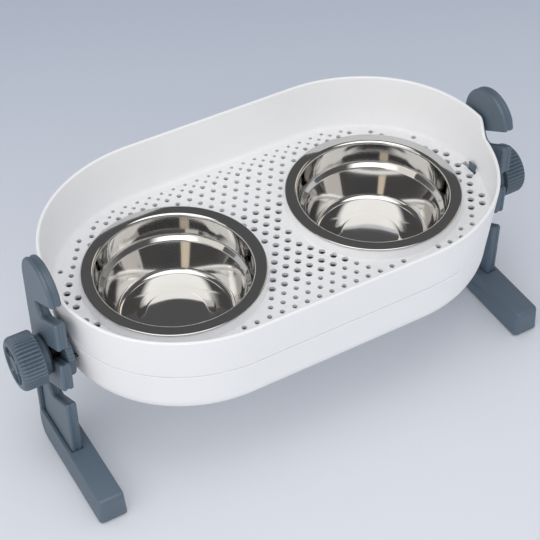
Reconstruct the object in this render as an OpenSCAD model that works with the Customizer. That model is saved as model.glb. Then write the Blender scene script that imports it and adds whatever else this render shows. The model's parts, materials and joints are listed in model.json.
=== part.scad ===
/* [Bowls] */
// Outer diameter of the bowl rim
rim_d = 160; // [140:1:164]
// Width of the flat rim
rim_w = 12; // [9:0.5:15]
// Height of the rim above the floor
rim_z = 157; // [152:0.5:165]
// Depth of the bowl from rim to floor
bowl_depth = 54; // [40:1:58]
// Depth at which the wall steps in
step_depth = 22; // [14:1:28]
// Inward step of the wall
step_w = 5; // [3:0.5:8]
// Radius of the round between wall and floor
bowl_floor_r = 5; // [3:0.5:10]
// Inward draft of the wall below the step in degrees
bowl_draft = 18; // [6:1:22]
// Diameter of the pressed disc in the bowl floor
floor_disc_d = 55; // [44:1:66]
// Thickness of the steel sheet
bowl_t = 1; // [0.8:0.1:1.6]

/* [Tray outline] */
// Distance from the end of the deck to the bowl centre
bowl_inset = 104.5; // [100:0.5:112]
// Length of the deck between the end walls
deck_l = 411; // [395:1:440]
// Width of the deck between the long walls
deck_w = 225; // [210:1:240]
// How much larger the shoulder radius is than the tip radius
oval_k = 20; // [10:1:60]

/* [Tray heights] */
// Underside of the drip basin
basin_z = 89; // [84:0.5:93]
// Seam between drip basin and upper shell
seam_z = 138; // [135:0.5:138.5]
// Top of the perforated deck
deck_z = 146; // [144:0.5:149]
// Top of the front lip
lip_z = 181.5; // [170:0.5:184]
// Height of the end wall beside the pivot
shoulder_z = 184; // [182:0.5:192]
// Top of the splash guard
guard_z = 199.5; // [195:0.5:230]

/* [Tray walls] */
// Wall thickness of shell and basin
wall_t = 3; // [2:0.1:4]
// Thickness of the deck
deck_t = 3; // [2:0.1:4]
// Outward lean of the shell wall in degrees
shell_lean = 5; // [1:0.1:6]
// Inward draft of the basin wall in degrees
basin_draft = 4.8; // [2:0.1:7]
// Outer radius of the bottom edge of the basin
basin_r = 18; // [10:0.5:22]
// How far the basin's locating rim stands into the shell
lap_h = 4; // [3:0.5:4.5]
// Thickness of the locating rim
lap_t = 2; // [1.5:0.1:2.5]
// Play between the locating rim and the shell
lap_gap = 0.3; // [0.2:0.05:0.6]
// Width of the raised collar round each bowl
collar_w = 12; // [10:0.5:14]
// Width of the flat seat on top of the collar
collar_seat_w = 9.5; // [7:0.5:9.5]
// Play between bowl and collar
bowl_gap = 1.5; // [0.8:0.1:3]
// Where the guard starts to fall, behind the pivot
guard_fall_y = 3; // [0:0.5:10]
// Length over which the guard falls to the end wall
guard_fall_l = 15; // [10:0.5:25]
// Length over which the end wall falls to the front lip
lip_fall_l = 60; // [40:1:75]

/* [Drain holes] */
// Hole spacing along a row
hole_dx = 12.2; // [10:0.1:15]
// Spacing of the rows
hole_dy = 9.15; // [8:0.05:12]
// Diameter in the middle rows
hole_d_big = 6.2; // [4:0.1:7]
// Diameter in the outer rows
hole_d_mid = 4.7; // [3:0.1:6]
// Diameter in the two rows along the guard
hole_d_small = 3.4; // [2:0.1:4]
// Spacing of the two rows along the guard
hole_dy_small = 5.6; // [5:0.1:7]
// Rows in front of the bowl line
rows_front = 11; // [8:1:11]
// Rows behind the bowl line
rows_back = 10; // [8:1:10]
// First and last row with big holes
rows_big = [-6, 4];
// Land left between a big hole and the wall
hole_land = 1.9; // [1.5:0.1:6]
// Land left between a hole and the collars
collar_land = 2; // [1:0.1:4]
// Land left between the smaller holes and the wall
edge_land = 4; // [2.5:0.1:6]

/* [Pivot] */
// Offset of the pivot line in front of the bowl line
pivot_dy = 6; // [3:0.5:9]
// Height of the pivot
pivot_z = 124; // [121:0.5:124.5]
// Diameter of the threaded stud
stud_d = 12; // [8:0.5:12]
// Outer diameter of the threaded insert
insert_d = 17; // [15:0.5:18]
// Length of the threaded insert
insert_l = 14; // [10:0.5:18]
// Diameter of the hub that passes the basin wall
hub_d = 21.6; // [20.6:0.1:22]
// Diameter of the ribbed pivot disc
boss_d = 51; // [44:0.5:60]
// Thickness of the ribbed pivot disc
boss_t = 6.4; // [6:0.2:12]
// Number of ribs on the pivot disc
boss_ribs = 50; // [36:2:60]
// Thickness of the bracket inside the wall
bracket_t = 4; // [3:0.2:5]
// Width of the bracket
bracket_w = 38; // [36:0.5:40]
// Width of the bracket's hook above the deck
hook_w = 9; // [6:0.5:12]
// Height of the hook above the deck
hook_h = 7; // [4:0.5:10]
// Thickness of the hook
hook_t = 1.6; // [1.2:0.1:2.4]
// Offset of the hook in front of the pivot
hook_dy = 6; // [4:0.5:8]
// Width of the slits round the latch flap in the deck
slit_w = 1.2; // [0.8:0.1:1.6]
// Gap between the shell and the pivot disc
disc_gap = 0.6; // [0.4:0.1:3]

/* [Legs] */
// Thickness of the leg plate
leg_t = 10; // [8:0.5:14]
// Width of the leg plate
leg_w = 62; // [56:1:70]
// Spacing of the hook notches
notch_pitch = 48; // [44:1:52]
// Slope of the notches in degrees
notch_slope = 31; // [25:1:35]
// Play between stud and notch
notch_gap = 0.3; // [0.2:0.05:0.6]
// Room above the stud in a notch
notch_room = 8.5; // [7:0.25:10]
// Height of the leg above the upper notch
leg_over = 51.5; // [50:0.5:64]

/* [Feet] */
// Length of the foot in front of the leg
foot_front = 64; // [40:1:90]
// Height of the foot bar
foot_h = 27.4; // [22:0.2:32]
// Width of the foot bar
foot_w = 22.6; // [19:0.2:30]
// Thickness of the foot outside the leg
foot_outer_t = 3.2; // [2:0.1:5]
// Radius of the heel
heel_r = 20; // [14:0.5:24]
// Flare of the foot's sides towards the ground
foot_flare = 2; // [0.5:0.1:4]
// Thickness of the spine behind the leg
spine_t = 4; // [3:0.2:6]
// Height of the spine
spine_z = 100; // [70:1:110]
// Floor of the mortise above the ground
mortise_z = 8; // [7:0.5:12]
// Play of the leg in its mortise
mortise_gap = 0.4; // [0.2:0.05:0.8]
// Diameter of the rubber pads
pad_d = 15; // [10:0.5:17]
// Thickness of the rubber pads
pad_t = 2.5; // [2:0.1:4]
// Height of the foot above the ground
pad_out = 1; // [0.5:0.1:2]
// Radius of the foot's front edge
foot_nose_r = 4; // [2:0.5:8]

/* [Knobs] */
// Diameter over the ribs
knob_d = 48; // [40:0.5:56]
// Length of the knob
knob_l = 27.8; // [22:0.2:34]
// Diameter of the smooth collar at the leg
collar_d = 35; // [30:0.5:40]
// Length of the smooth collar
collar_l = 6; // [4:0.2:8]
// Rounding of the outer edge
knob_round = 5; // [3:0.5:6]
// Number of grip ribs
knob_ribs = 42; // [30:2:60]
// Diameter of the grip grooves
rib_groove_d = 2.2; // [1.4:0.1:2.6]
// Outer diameter of the pocket in the face
pocket_d = 34; // [28:0.5:38]
// Depth of the pocket
pocket_depth = 5; // [3:0.2:6]
// Diameter of the hub in the pocket
face_hub_d = 16; // [14:0.5:18]
// Thickness of the washer
washer_t = 1.5; // [1:0.1:2.5]

/* [Screws] */
// Shank diameter of the screws
screw_d = 4; // [3:0.1:4.5]
// Head diameter of the screws
head_d = 7; // [6:0.1:7.5]
// Height of the screw heads
head_h = 2.4; // [2:0.1:3]
// Length of the leg screws
leg_screw_l = 18; // [12:0.5:24]

/* [Clearances] */
// Play of a screw shank in its hole
screw_gap = 0.1; // [0.05:0.01:0.3]
// Radial running clearance of the stud
run_gap = 0.05; // [0.02:0.01:0.1]
// Play between parts that turn side by side
side_gap = 0.2; // [0.1:0.05:0.5]
// Play of the hub in the basin wall
hub_gap = 0.3; // [0.2:0.05:0.5]

/* [Hidden] */
$fn = 72;
eps = 0.01;
far = 600;

shell_colour = [0.93, 0.93, 0.93];
grey_colour = [0.38, 0.45, 0.52];
steel_colour = [0.75, 0.75, 0.76];
dark_colour = [0.15, 0.16, 0.18];
brass_colour = [0.78, 0.62, 0.3];
rubber_colour = [0.2, 0.2, 0.22];

rim_r = rim_d / 2;
bowl_in_r = rim_r - rim_w;
// The bowl rests on the collar with its rolled edge
roll_r = 1.1;
bend_r = 3;
seat_gap = 0.05;

// Four-centre oval: tip and shoulder arcs meet on a line of slope 4 to 3, then straight long sides
half_l = deck_l / 2;
half_w = deck_w / 2;
bowl_x = half_l - bowl_inset;
join_cos = 0.6;
join_sin = 0.8;
join_a = atan2(join_sin, join_cos);
tip_r = half_w - (1 - join_sin) * oval_k;
shoulder_r = tip_r + oval_k;
tip_x = half_l - tip_r;
shoulder_x = tip_x - join_cos * oval_k;
shoulder_y = join_sin * oval_k;

// Offset of the outer wall face from the deck outline at height z
seam_u = wall_t - (deck_z - seam_z) * tan(shell_lean);
function shell_u(z) = seam_u + (z - seam_z) * tan(shell_lean);
function basin_u(z) = seam_u - (seam_z - z) * tan(basin_draft);
basin_arc_z = basin_z + basin_r * (1 - sin(basin_draft));
basin_arc_u = basin_u(basin_arc_z) - basin_r * cos(basin_draft);

// Distance of the basin wall from the centre plane at height z and depth y
function basin_x(z, y, inset) = tip_x + sqrt(pow(tip_r + basin_u(z) - inset, 2) - y * y);

// Stack of the pivot parts along the pivot line, from the tray outwards
pivot_y = -pivot_dy;
stud_r = stud_d / 2;
hub_r = hub_d / 2;
bracket_low = pivot_z - hub_r - 2;
bracket_high = seam_z + lap_h;
bracket_reach = bracket_w / 2 + pivot_dy;
lap_out_u = seam_u - wall_t - lap_gap;
bracket_x = basin_x(bracket_low, bracket_reach, wall_t) - side_gap;
hook_y = pivot_y - hook_dy;
hook_reach = hook_w / 2 - hook_y;
hook_out_x = tip_x + sqrt(pow(tip_r + seam_u - wall_t, 2) - pow(hook_reach, 2)) - side_gap;
hook_in_x = hook_out_x - hook_t;
bracket_screw_dy = (hub_r + hub_gap + bracket_w / 2) / 2;
standoff_r = bracket_w / 2 + 1;
standoff_x = half_l + shell_u(pivot_z + standoff_r) + hub_gap;
disc_x = half_l + shell_u(pivot_z + boss_d / 2) + disc_gap;
leg_x = disc_x + boss_t + side_gap;
leg_out_x = leg_x + leg_t;
washer_x = leg_out_x + side_gap / 2;
knob_x = washer_x + washer_t + side_gap / 2;
insert_reach = 6;
hub_in_x = bracket_x - bracket_t - insert_l + insert_reach;
stud_in_x = hub_in_x + 1;
stud_out_x = knob_x + knob_l - pocket_depth - 4;

// Leg outline: notch seats, front and back edges, round top
notch_r = stud_r + notch_gap;
notch_z = [pivot_z - notch_pitch, pivot_z, pivot_z + notch_pitch];
leg_front = pivot_y - leg_w / 2;
leg_back = pivot_y + leg_w / 2;
leg_top = notch_z[2] + leg_over;
leg_round_z = leg_top - leg_w / 2;

// Foot bar and mortise
foot_out_x = leg_out_x + mortise_gap + foot_outer_t;
foot_in_x = foot_out_x - foot_w;
foot_front_y = leg_front - foot_front;
foot_back_y = leg_back;
screw_y = [pivot_y - leg_w / 3, pivot_y - leg_w / 12];
head_seat_z = mortise_z - 4;
screw_r = screw_d / 2;
leg_low_back = leg_back - spine_t - mortise_gap;
foot_mid_x = (foot_in_x + foot_out_x) / 2;
leg_mid_x = (leg_x + leg_out_x) / 2;
pad_y = [foot_front_y + pad_d / 2 + foot_nose_r + 2, leg_front - pad_d, foot_back_y - heel_r];

// 2D outline of the tray, moved out by u
module oval(u) {
    join_x = tip_x + (tip_r + u) * join_cos;
    square([2 * shoulder_x, 2 * (half_w + u)], center = true);
    for (side = [-1, 1])
        mirror([side < 0 ? 1 : 0, 0]) {
            translate([tip_x, 0]) circle(tip_r + u);
            intersection() {
                translate([shoulder_x, -shoulder_y]) circle(shoulder_r + u);
                translate([shoulder_x, shoulder_y]) circle(shoulder_r + u);
                translate([shoulder_x - eps, -far / 2]) square([join_x - shoulder_x + eps, far]);
            }
        }
}

// Profile points lie on a grid of a hundredth, so that neighbouring sweeps meet exactly
function on_grid(v) = round(v * 100) / 100;

// Wall swept round the outline; the profile is given as [u, z] points
module oval_wall(outline) {
    profile = [for (p = outline) [on_grid(p[0]), on_grid(p[1])]];
    tip = [for (p = profile) [tip_r + p[0], p[1]]];
    shoulder = [for (p = profile) [shoulder_r + p[0], p[1]]];
    for (side = [0, 1], hand = [0, 1])
        mirror([side, 0, 0]) mirror([0, hand, 0]) {
            translate([tip_x, 0, 0]) rotate_extrude(angle = join_a) polygon(tip);
            translate([shoulder_x, -shoulder_y, 0]) rotate([0, 0, 90]) mirror([0, 1, 0])
                rotate_extrude(angle = 90 - join_a) polygon(shoulder);
            translate([0, half_w, 0]) rotate([90, 0, 90])
                linear_extrude(shoulder_x) polygon(profile);
        }
}

// Solid cylinder along X between two stations
module x_rod(x0, x1, r) {
    translate([x0, 0, 0]) rotate([0, 90, 0]) cylinder(h = x1 - x0, r = r);
}

// Prism along X with its outline given in Y and Z
module x_prism(x0, x1) {
    translate([x0, 0, 0]) rotate([90, 0, 90]) linear_extrude(x1 - x0) children();
}

// Places a part of the right end at its left mirror place as well
module at_end(side) {
    mirror([side < 0 ? 1 : 0, 0, 0]) children();
}

// Quarter round as points, from angle a0 to a1 about a centre
function arc(c, r, a0, a1, n = 6) =
    [for (i = [0:n]) c + r * [cos(a0 + (a1 - a0) * i / n), sin(a0 + (a1 - a0) * i / n)]];
function smooth(t) = (1 - cos(180 * t)) / 2;
function reversed(list) = [for (i = [len(list) - 1:-1:0]) list[i]];

// Top edge of the shell wall in side view, from the front lip to the guard
guard_front = pivot_y + guard_fall_y;
guard_foot = guard_front - guard_fall_l;
lip_back = guard_foot - lip_fall_l;
function wall_edge() = concat(
    [[-far / 2, lip_z]],
    [for (i = [0:10]) let (t = i / 10)
        [lip_back + t * lip_fall_l, lip_z + (shoulder_z - lip_z) * t * t]],
    [for (i = [1:12]) let (t = i / 12)
        [guard_foot + t * guard_fall_l, shoulder_z + (guard_z - shoulder_z) * smooth(t)]]);

module above_wall_edge() {
    edge = wall_edge();
    polygon(concat(edge, [[guard_front, guard_z + far], [-far / 2, guard_z + far]]));
}

// Whether a hole of radius r keeps its land to the wall and the collars
function oval_depth(x, y) =
    let (ax = abs(x), ay = abs(y))
    ax < shoulder_x ? half_w - ay :
    atan2(ay, ax - tip_x) < join_a && ax > tip_x ? tip_r - norm([ax - tip_x, ay]) :
    shoulder_r - norm([ax - shoulder_x, ay + shoulder_y]);
function hole_fits(x, y, r) =
    oval_depth(x, y) > r + (r < hole_d_big / 2 ? edge_land : hole_land)
    && norm([abs(x) - bowl_x, y]) > collar_out + collar_land;

// Latch flap at each end of the deck: slits from two row ends to the wall, open along the hook
slit_y = [-2 * hole_dy, 0];
slit_x = (floor((half_l - hole_land - hole_d_big / 2) / hole_dx)) * hole_dx;
module latch_slits() {
    low = deck_z - deck_t - 1;
    for (y = slit_y)
        translate([slit_x, y - slit_w / 2, low]) cube([half_l - slit_x, slit_w, deck_t + 2]);
    translate([hook_in_x - slit_w, slit_y[0] - slit_w / 2, low])
        cube([half_l - hook_in_x + slit_w, slit_y[1] - slit_y[0] + slit_w, deck_t + 2]);
}

module drain_row(y, d, shift) {
    count = ceil(half_l / hole_dx);
    for (i = [-count:count]) {
        x = (i + shift) * hole_dx;
        if (hole_fits(x, y, d / 2))
            translate([x, y, deck_z - deck_t - 1]) cylinder(h = deck_t + 2, d = d, $fn = 24);
    }
}

module drain_holes() {
    for (row = [-rows_front:rows_back])
        drain_row(row * hole_dy, row >= rows_big[0] && row <= rows_big[1] ? hole_d_big : hole_d_mid,
            row % 2 == 0 ? 0 : 0.5);
    for (row = [1, 2])
        drain_row(rows_back * hole_dy + row * hole_dy_small, hole_d_small, row % 2 == 0 ? 0 : 0.5);
}

// Raised ring that the bowl rim sits on, as a moulded shell
collar_in = bowl_in_r + bowl_gap;
collar_out = collar_in + collar_w;
collar_z = rim_z - 2 * roll_r - seat_gap;
collar_t = 2;
module collar() {
    seat = collar_in + collar_seat_w;
    rotate_extrude()
        polygon([[collar_in, deck_z - deck_t], [collar_in, collar_z], [seat, collar_z],
            [collar_out, deck_z], [collar_out, deck_z - deck_t],
            [collar_out - collar_t, deck_z - deck_t],
            [seat - collar_t, collar_z - deck_t], [collar_in + collar_t, collar_z - deck_t],
            [collar_in + collar_t, deck_z - deck_t]]);
}

module upper_shell() {
    half_t = wall_t / 2;
    top_u = shell_u(guard_z) - half_t;
    profile = concat([[shell_u(seam_z) - wall_t, seam_z], [shell_u(seam_z), seam_z]],
        arc([top_u, guard_z - half_t], half_t, 0, 180));
    color(shell_colour)
    difference() {
        union() {
            difference() {
                oval_wall(profile);
                x_prism(-far, far) above_wall_edge();
            }
            difference() {
                translate([0, 0, deck_z - deck_t]) linear_extrude(deck_t) oval(wall_t / 4);
                for (side = [-1, 1])
                    translate([side * bowl_x, 0, deck_z - deck_t - 1])
                        cylinder(h = deck_t + 2, r = collar_out - collar_t / 2);
                drain_holes();
                for (side = [-1, 1]) at_end(side) latch_slits();
            }
            for (side = [-1, 1]) translate([side * bowl_x, 0, 0]) collar();
        }
    }
}

module drip_basin() {
    c = [basin_arc_u, basin_arc_z];
    floor_in = basin_arc_u - 3;
    outer = concat([[floor_in, basin_z]], arc(c, basin_r, -90, -basin_draft, 8));
    inner = concat([[floor_in, basin_z + wall_t]], arc(c, basin_r - wall_t, -90, -basin_draft, 8));
    lap_out = lap_out_u;
    color(shell_colour)
    difference() {
        union() {
            oval_wall(concat(outer, [[seam_u, seam_z], [seam_u - wall_t, seam_z]], reversed(inner)));
            oval_wall([[lap_out - lap_t, seam_z - lap_h], [lap_out + 0.2, seam_z - lap_h],
                [lap_out + 0.2, seam_z - eps], [lap_out, seam_z - eps],
                [lap_out, seam_z + lap_h], [lap_out - lap_t, seam_z + lap_h]]);
            translate([0, 0, basin_z]) linear_extrude(wall_t) oval(on_grid(floor_in + 1.5));
        }
        for (side = [-1, 1])
            at_end(side) {
                translate([0, pivot_y, pivot_z]) {
                    x_rod(tip_x, far, hub_r + hub_gap);
                    for (s = [-1, 1])
                        translate([0, s * bracket_screw_dy, 0])
                            x_rod(tip_x, far, screw_d / 2 + screw_gap);
                }
                translate([tip_x, -bracket_reach - 1, seam_z - lap_h - 1])
                    cube([basin_x(seam_z - lap_h - 1, bracket_reach + 1, wall_t) - tip_x,
                        bracket_w + 2, 2 * lap_h + 2]);
                translate([tip_x, -bracket_reach - 1, seam_z])
                    cube([far, bracket_w + 2, lap_h + 1]);
            }
    }
}

// Sheet bowl: inner surface from rim to centre, thickened outwards
step_r = 2;
upper_r = bowl_in_r - 1.5;
lower_r = upper_r - step_w;
lower_fall = bowl_depth - step_depth - 2 * step_r;
floor_r = lower_r - lower_fall * tan(bowl_draft) - bowl_floor_r * (1 - sin(bowl_draft)) / cos(bowl_draft);
disc_r = floor_disc_d / 2;
bowl_path = concat(
    [[rim_r - roll_r, 0]],
    arc([bowl_in_r + bend_r, -bend_r], bend_r, 90, 180, 5),
    arc([upper_r - step_r, -step_depth], step_r, 0, -90, 4),
    arc([lower_r + step_r, -step_depth - 2 * step_r], step_r, 90, 180 - bowl_draft, 4),
    arc([floor_r, -bowl_depth + bowl_floor_r], bowl_floor_r, -bowl_draft, -90, 6),
    [[disc_r + 3, -bowl_depth], [disc_r + 1.5, -bowl_depth - 0.8],
        [disc_r, -bowl_depth], [disc_r - 2, -bowl_depth + 0.6], [0, -bowl_depth + 0.6]]);
function unit(v) = v / norm(v);
function left_normal(v) = [-v[1], v[0]];
function path_normal(path, i) =
    let (a = path[max(i - 1, 0)], b = path[min(i + 1, len(path) - 1)])
    left_normal(unit(b - a));
function thickened(path, t) =
    [for (i = [0:len(path) - 1])
        i == len(path) - 1 ? path[i] - [0, t] :
        i == 0 ? path[i] - [0, t] : path[i] + t * path_normal(path, i)];

module bowl() {
    color(steel_colour)
    translate([0, 0, rim_z])
        rotate_extrude() {
            polygon(concat(bowl_path, reversed(thickened(bowl_path, bowl_t))));
            translate([rim_r - roll_r, -roll_r]) circle(roll_r, $fn = 24);
        }
}

module bowl_left() { translate([-bowl_x, 0, 0]) bowl(); }
module bowl_right() { translate([bowl_x, 0, 0]) bowl(); }

// Hook notch in side view, seat at the origin, mouth towards the front
module notch() {
    rotate(180 - notch_slope) {
        circle(notch_r);
        translate([0, 0]) square([leg_w, notch_r]);
        translate([-notch_r, -notch_room]) square([leg_w + notch_r, notch_room]);
    }
}

module leg_outline() {
    difference() {
        union() {
            translate([leg_front, mortise_z]) square([leg_low_back - leg_front, spine_z]);
            translate([leg_front, spine_z + mortise_gap])
                square([leg_w, leg_round_z - spine_z - mortise_gap]);
            translate([pivot_y, leg_round_z]) circle(leg_w / 2);
        }
        for (z = notch_z) translate([pivot_y, z]) notch();
    }
}

module leg() {
    color(grey_colour)
    difference() {
        x_prism(leg_x, leg_out_x) leg_outline();
        for (y = screw_y)
            translate([leg_mid_x, y, mortise_z - 1])
                cylinder(h = leg_screw_l + head_seat_z - mortise_z + 2, r = screw_r + screw_gap);
    }
}
module leg_left() { at_end(-1) leg(); }
module leg_right() { at_end(1) leg(); }

module foot_outline() {
    difference() {
        union() {
            translate([foot_front_y, pad_out])
                square([foot_back_y - foot_front_y, foot_h - pad_out]);
            translate([foot_back_y - spine_t, pad_out]) square([spine_t, spine_z - pad_out]);
        }
        translate([foot_back_y - heel_r, pad_out + heel_r])
            difference() {
                translate([0, -heel_r - 1]) square([heel_r + 1, heel_r + 1]);
                circle(heel_r);
            }
        translate([foot_front_y + foot_nose_r, foot_h - foot_nose_r])
            difference() {
                translate([-foot_nose_r - 1, 0]) square(foot_nose_r + 1);
                circle(foot_nose_r);
            }
    }
}

// Foot in front view: sides flare to the ground, the spine stands only behind the leg
module foot_section() {
    polygon([[foot_in_x - foot_flare, pad_out], [foot_out_x + foot_flare, pad_out],
        [foot_out_x, foot_h], [foot_out_x, spine_z], [leg_x - mortise_gap, spine_z],
        [leg_x - mortise_gap, foot_h], [foot_in_x, foot_h]]);
}

module foot() {
    color(grey_colour)
    difference() {
        intersection() {
            x_prism(foot_in_x - foot_flare - 1, foot_out_x + foot_flare + 1) foot_outline();
            translate([0, foot_back_y + 1, 0]) rotate([90, 0, 0])
                linear_extrude(foot_back_y - foot_front_y + 2) foot_section();
        }
        translate([leg_x - mortise_gap, leg_front - mortise_gap, mortise_z])
            cube([leg_t + 2 * mortise_gap, leg_low_back - leg_front + 2 * mortise_gap, far]);
        for (y = screw_y)
            translate([leg_mid_x, y, 0]) {
                cylinder(h = far, r = screw_r + screw_gap);
                translate([0, 0, -1]) cylinder(h = head_seat_z + 1, r = head_d / 2 + 0.3);
            }
        for (y = pad_y)
            translate([foot_mid_x, y, -1]) cylinder(h = pad_t + 1, d = pad_d + 0.2);
    }
}
module foot_left() { at_end(-1) foot(); }
module foot_right() { at_end(1) foot(); }

module foot_pads() {
    color(rubber_colour)
    for (y = pad_y)
        translate([foot_mid_x, y, 0]) cylinder(h = pad_t, d = pad_d);
}
module foot_pads_left() { at_end(-1) foot_pads(); }
module foot_pads_right() { at_end(1) foot_pads(); }

// Pan head screw along Z, head below the origin, shank above
module screw(l) {
    difference() {
        union() {
            translate([0, 0, -head_h]) cylinder(h = head_h, d = head_d);
            translate([0, 0, -eps]) cylinder(h = l + eps, d = screw_d);
        }
        translate([0, 0, -head_h - 1]) cylinder(h = head_h * 0.6 + 1, d = head_d * 0.45, $fn = 6);
    }
}

module leg_screws() {
    color(dark_colour)
    for (y = screw_y) translate([leg_mid_x, y, head_seat_z]) screw(leg_screw_l);
}
module leg_screws_left() { at_end(-1) leg_screws(); }
module leg_screws_right() { at_end(1) leg_screws(); }

// Ribbed disc on the outside of the basin with its hub through the wall
module pivot_disc() {
    groove_d = 1.8;
    color(grey_colour)
    translate([0, pivot_y, pivot_z])
        difference() {
            union() {
                x_rod(disc_x, disc_x + boss_t, boss_d / 2);
                x_rod(standoff_x, disc_x + 1, standoff_r);
                x_rod(hub_in_x, disc_x + 1, hub_r);
            }
            x_rod(hub_in_x - 1, far, stud_r + notch_gap);
            x_rod(hub_in_x - 1, hub_in_x + insert_l, insert_d / 2 + 0.02);
            for (s = [-1, 1])
                translate([0, s * bracket_screw_dy, 0])
                    x_rod(standoff_x - 1, disc_x + boss_t - 2, screw_r + screw_gap);
            for (i = [0:boss_ribs - 1])
                rotate([i * 360 / boss_ribs, 0, 0])
                    translate([0, 0, boss_d / 2 + 0.3])
                        x_rod(disc_x - 1, disc_x + boss_t + 1, groove_d / 2);
        }
}
module pivot_disc_left() { at_end(-1) pivot_disc(); }
module pivot_disc_right() { at_end(1) pivot_disc(); }

module insert() {
    color(brass_colour)
    translate([0, pivot_y, pivot_z])
        difference() {
            x_rod(hub_in_x, hub_in_x + insert_l, insert_d / 2);
            x_rod(hub_in_x - 1, hub_in_x + insert_l + 1, stud_r + run_gap);
        }
}
module insert_left() { at_end(-1) insert(); }
module insert_right() { at_end(1) insert(); }

// Plate inside the basin wall whose hook stands above the deck, held by the latch flap
module bracket() {
    color(grey_colour)
    difference() {
        union() {
            translate([bracket_x - bracket_t, pivot_y - bracket_w / 2, bracket_low])
                cube([bracket_t, bracket_w, bracket_high - bracket_low]);
            translate([bracket_x - bracket_t, hook_y - hook_w / 2, bracket_high - 3])
                cube([hook_out_x - bracket_x + bracket_t, hook_w, 3]);
            translate([hook_in_x, hook_y - hook_w / 2, bracket_high - 3])
                cube([hook_t, hook_w, deck_z + hook_h - bracket_high + 3]);
        }
        translate([0, pivot_y, pivot_z]) {
            x_rod(bracket_x - bracket_t - 1, bracket_x + 1, hub_r + hub_gap);
            for (s = [-1, 1])
                translate([0, s * bracket_screw_dy, 0])
                    x_rod(bracket_x - bracket_t - 1, bracket_x + 1, screw_r + screw_gap);
        }
    }
}
module bracket_left() { at_end(-1) bracket(); }
module bracket_right() { at_end(1) bracket(); }

module bracket_screws() {
    color(dark_colour)
    for (s = [-1, 1])
        translate([bracket_x - bracket_t, pivot_y + s * bracket_screw_dy, pivot_z])
            rotate([0, 90, 0]) screw(disc_x + boss_t - 3 - bracket_x + bracket_t);
}
module bracket_screws_left() { at_end(-1) bracket_screws(); }
module bracket_screws_right() { at_end(1) bracket_screws(); }

module stud() {
    color(dark_colour)
    translate([0, pivot_y, pivot_z]) x_rod(stud_in_x, stud_out_x, stud_r);
}
module stud_left() { at_end(-1) stud(); }
module stud_right() { at_end(1) stud(); }

module washer() {
    color(dark_colour)
    translate([0, pivot_y, pivot_z])
        difference() {
            x_rod(washer_x, washer_x + washer_t, collar_d / 2);
            x_rod(washer_x - 1, washer_x + washer_t + 1, stud_r + notch_gap);
        }
}
module washer_left() { at_end(-1) washer(); }
module washer_right() { at_end(1) washer(); }

// Turned body of the knob with grip grooves and a spoked face pocket
module knob() {
    knob_r = knob_d / 2;
    body = concat(
        [[0, 0], [collar_d / 2, 0], [collar_d / 2 + 0.5, collar_l * 0.4],
            [knob_r - 1.5, collar_l], [knob_r, collar_l + 1]],
        arc([knob_r - knob_round, knob_l - knob_round], knob_round, 0, 90, 6),
        [[0, knob_l]]);
    spokes = 6;
    spoke_t = 1.6;
    spoke_drop = 1.5;
    groove_out = 0.4;
    color(grey_colour)
    translate([knob_x, pivot_y, pivot_z]) rotate([0, 90, 0])
        difference() {
            rotate_extrude() polygon(body);
            translate([0, 0, -1]) cylinder(h = stud_out_x - knob_x + 1.5, r = stud_r + run_gap);
            difference() {
                translate([0, 0, knob_l - pocket_depth]) cylinder(h = far, d = pocket_d);
                cylinder(h = knob_l - 0.5, d = face_hub_d);
                for (i = [0:spokes - 1])
                    rotate([0, 0, i * 360 / spokes])
                        translate([0, -spoke_t / 2, 0]) cube([knob_r, spoke_t, knob_l - spoke_drop]);
            }
            for (i = [0:knob_ribs - 1])
                rotate([0, 0, (i + 0.5) * 360 / knob_ribs])
                    translate([knob_r + groove_out, 0, collar_l - 1])
                        cylinder(h = far, d = rib_groove_d, $fn = 16);
        }
}
module knob_left() { at_end(-1) knob(); }
module knob_right() { at_end(1) knob(); }

upper_shell();
drip_basin();
bowl_left();
bowl_right();
leg_left();
leg_right();
foot_left();
foot_right();
foot_pads_left();
foot_pads_right();
leg_screws_left();
leg_screws_right();
pivot_disc_left();
pivot_disc_right();
insert_left();
insert_right();
bracket_left();
bracket_right();
bracket_screws_left();
bracket_screws_right();
stud_left();
stud_right();
knob_left();
knob_right();
washer_left();
washer_right();
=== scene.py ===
# %% [markdown]
# Dog feeder stand. An oval white tray with a splash guard carries two steel bowls and hangs between
# two notched legs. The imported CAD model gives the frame: the sizes below follow the CAD source in
# millimetres, and each visible piece is rebuilt here with the rounded edges and finishes of the real one.
# The inserts and the screws, which hardly show, stay as the CAD model has them.

import json
import math

import bmesh
import bpy
from mathutils import Matrix, Vector


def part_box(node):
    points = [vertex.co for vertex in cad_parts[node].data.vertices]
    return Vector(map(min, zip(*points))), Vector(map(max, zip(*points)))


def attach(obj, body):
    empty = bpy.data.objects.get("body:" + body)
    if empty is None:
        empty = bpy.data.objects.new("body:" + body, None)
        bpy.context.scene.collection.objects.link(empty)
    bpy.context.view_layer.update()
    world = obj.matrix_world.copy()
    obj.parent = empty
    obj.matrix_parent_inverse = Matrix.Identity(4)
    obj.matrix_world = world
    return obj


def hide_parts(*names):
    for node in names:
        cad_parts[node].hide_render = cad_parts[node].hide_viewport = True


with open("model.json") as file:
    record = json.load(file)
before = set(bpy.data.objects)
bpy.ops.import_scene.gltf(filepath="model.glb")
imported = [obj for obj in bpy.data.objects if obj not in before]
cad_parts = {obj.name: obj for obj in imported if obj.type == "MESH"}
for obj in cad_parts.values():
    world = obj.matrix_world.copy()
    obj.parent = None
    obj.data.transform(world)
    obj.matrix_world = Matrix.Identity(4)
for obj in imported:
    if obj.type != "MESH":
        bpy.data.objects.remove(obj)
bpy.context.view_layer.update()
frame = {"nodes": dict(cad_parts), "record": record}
MM = 0.001
SIDES = {"left": -1, "right": 1}

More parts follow.
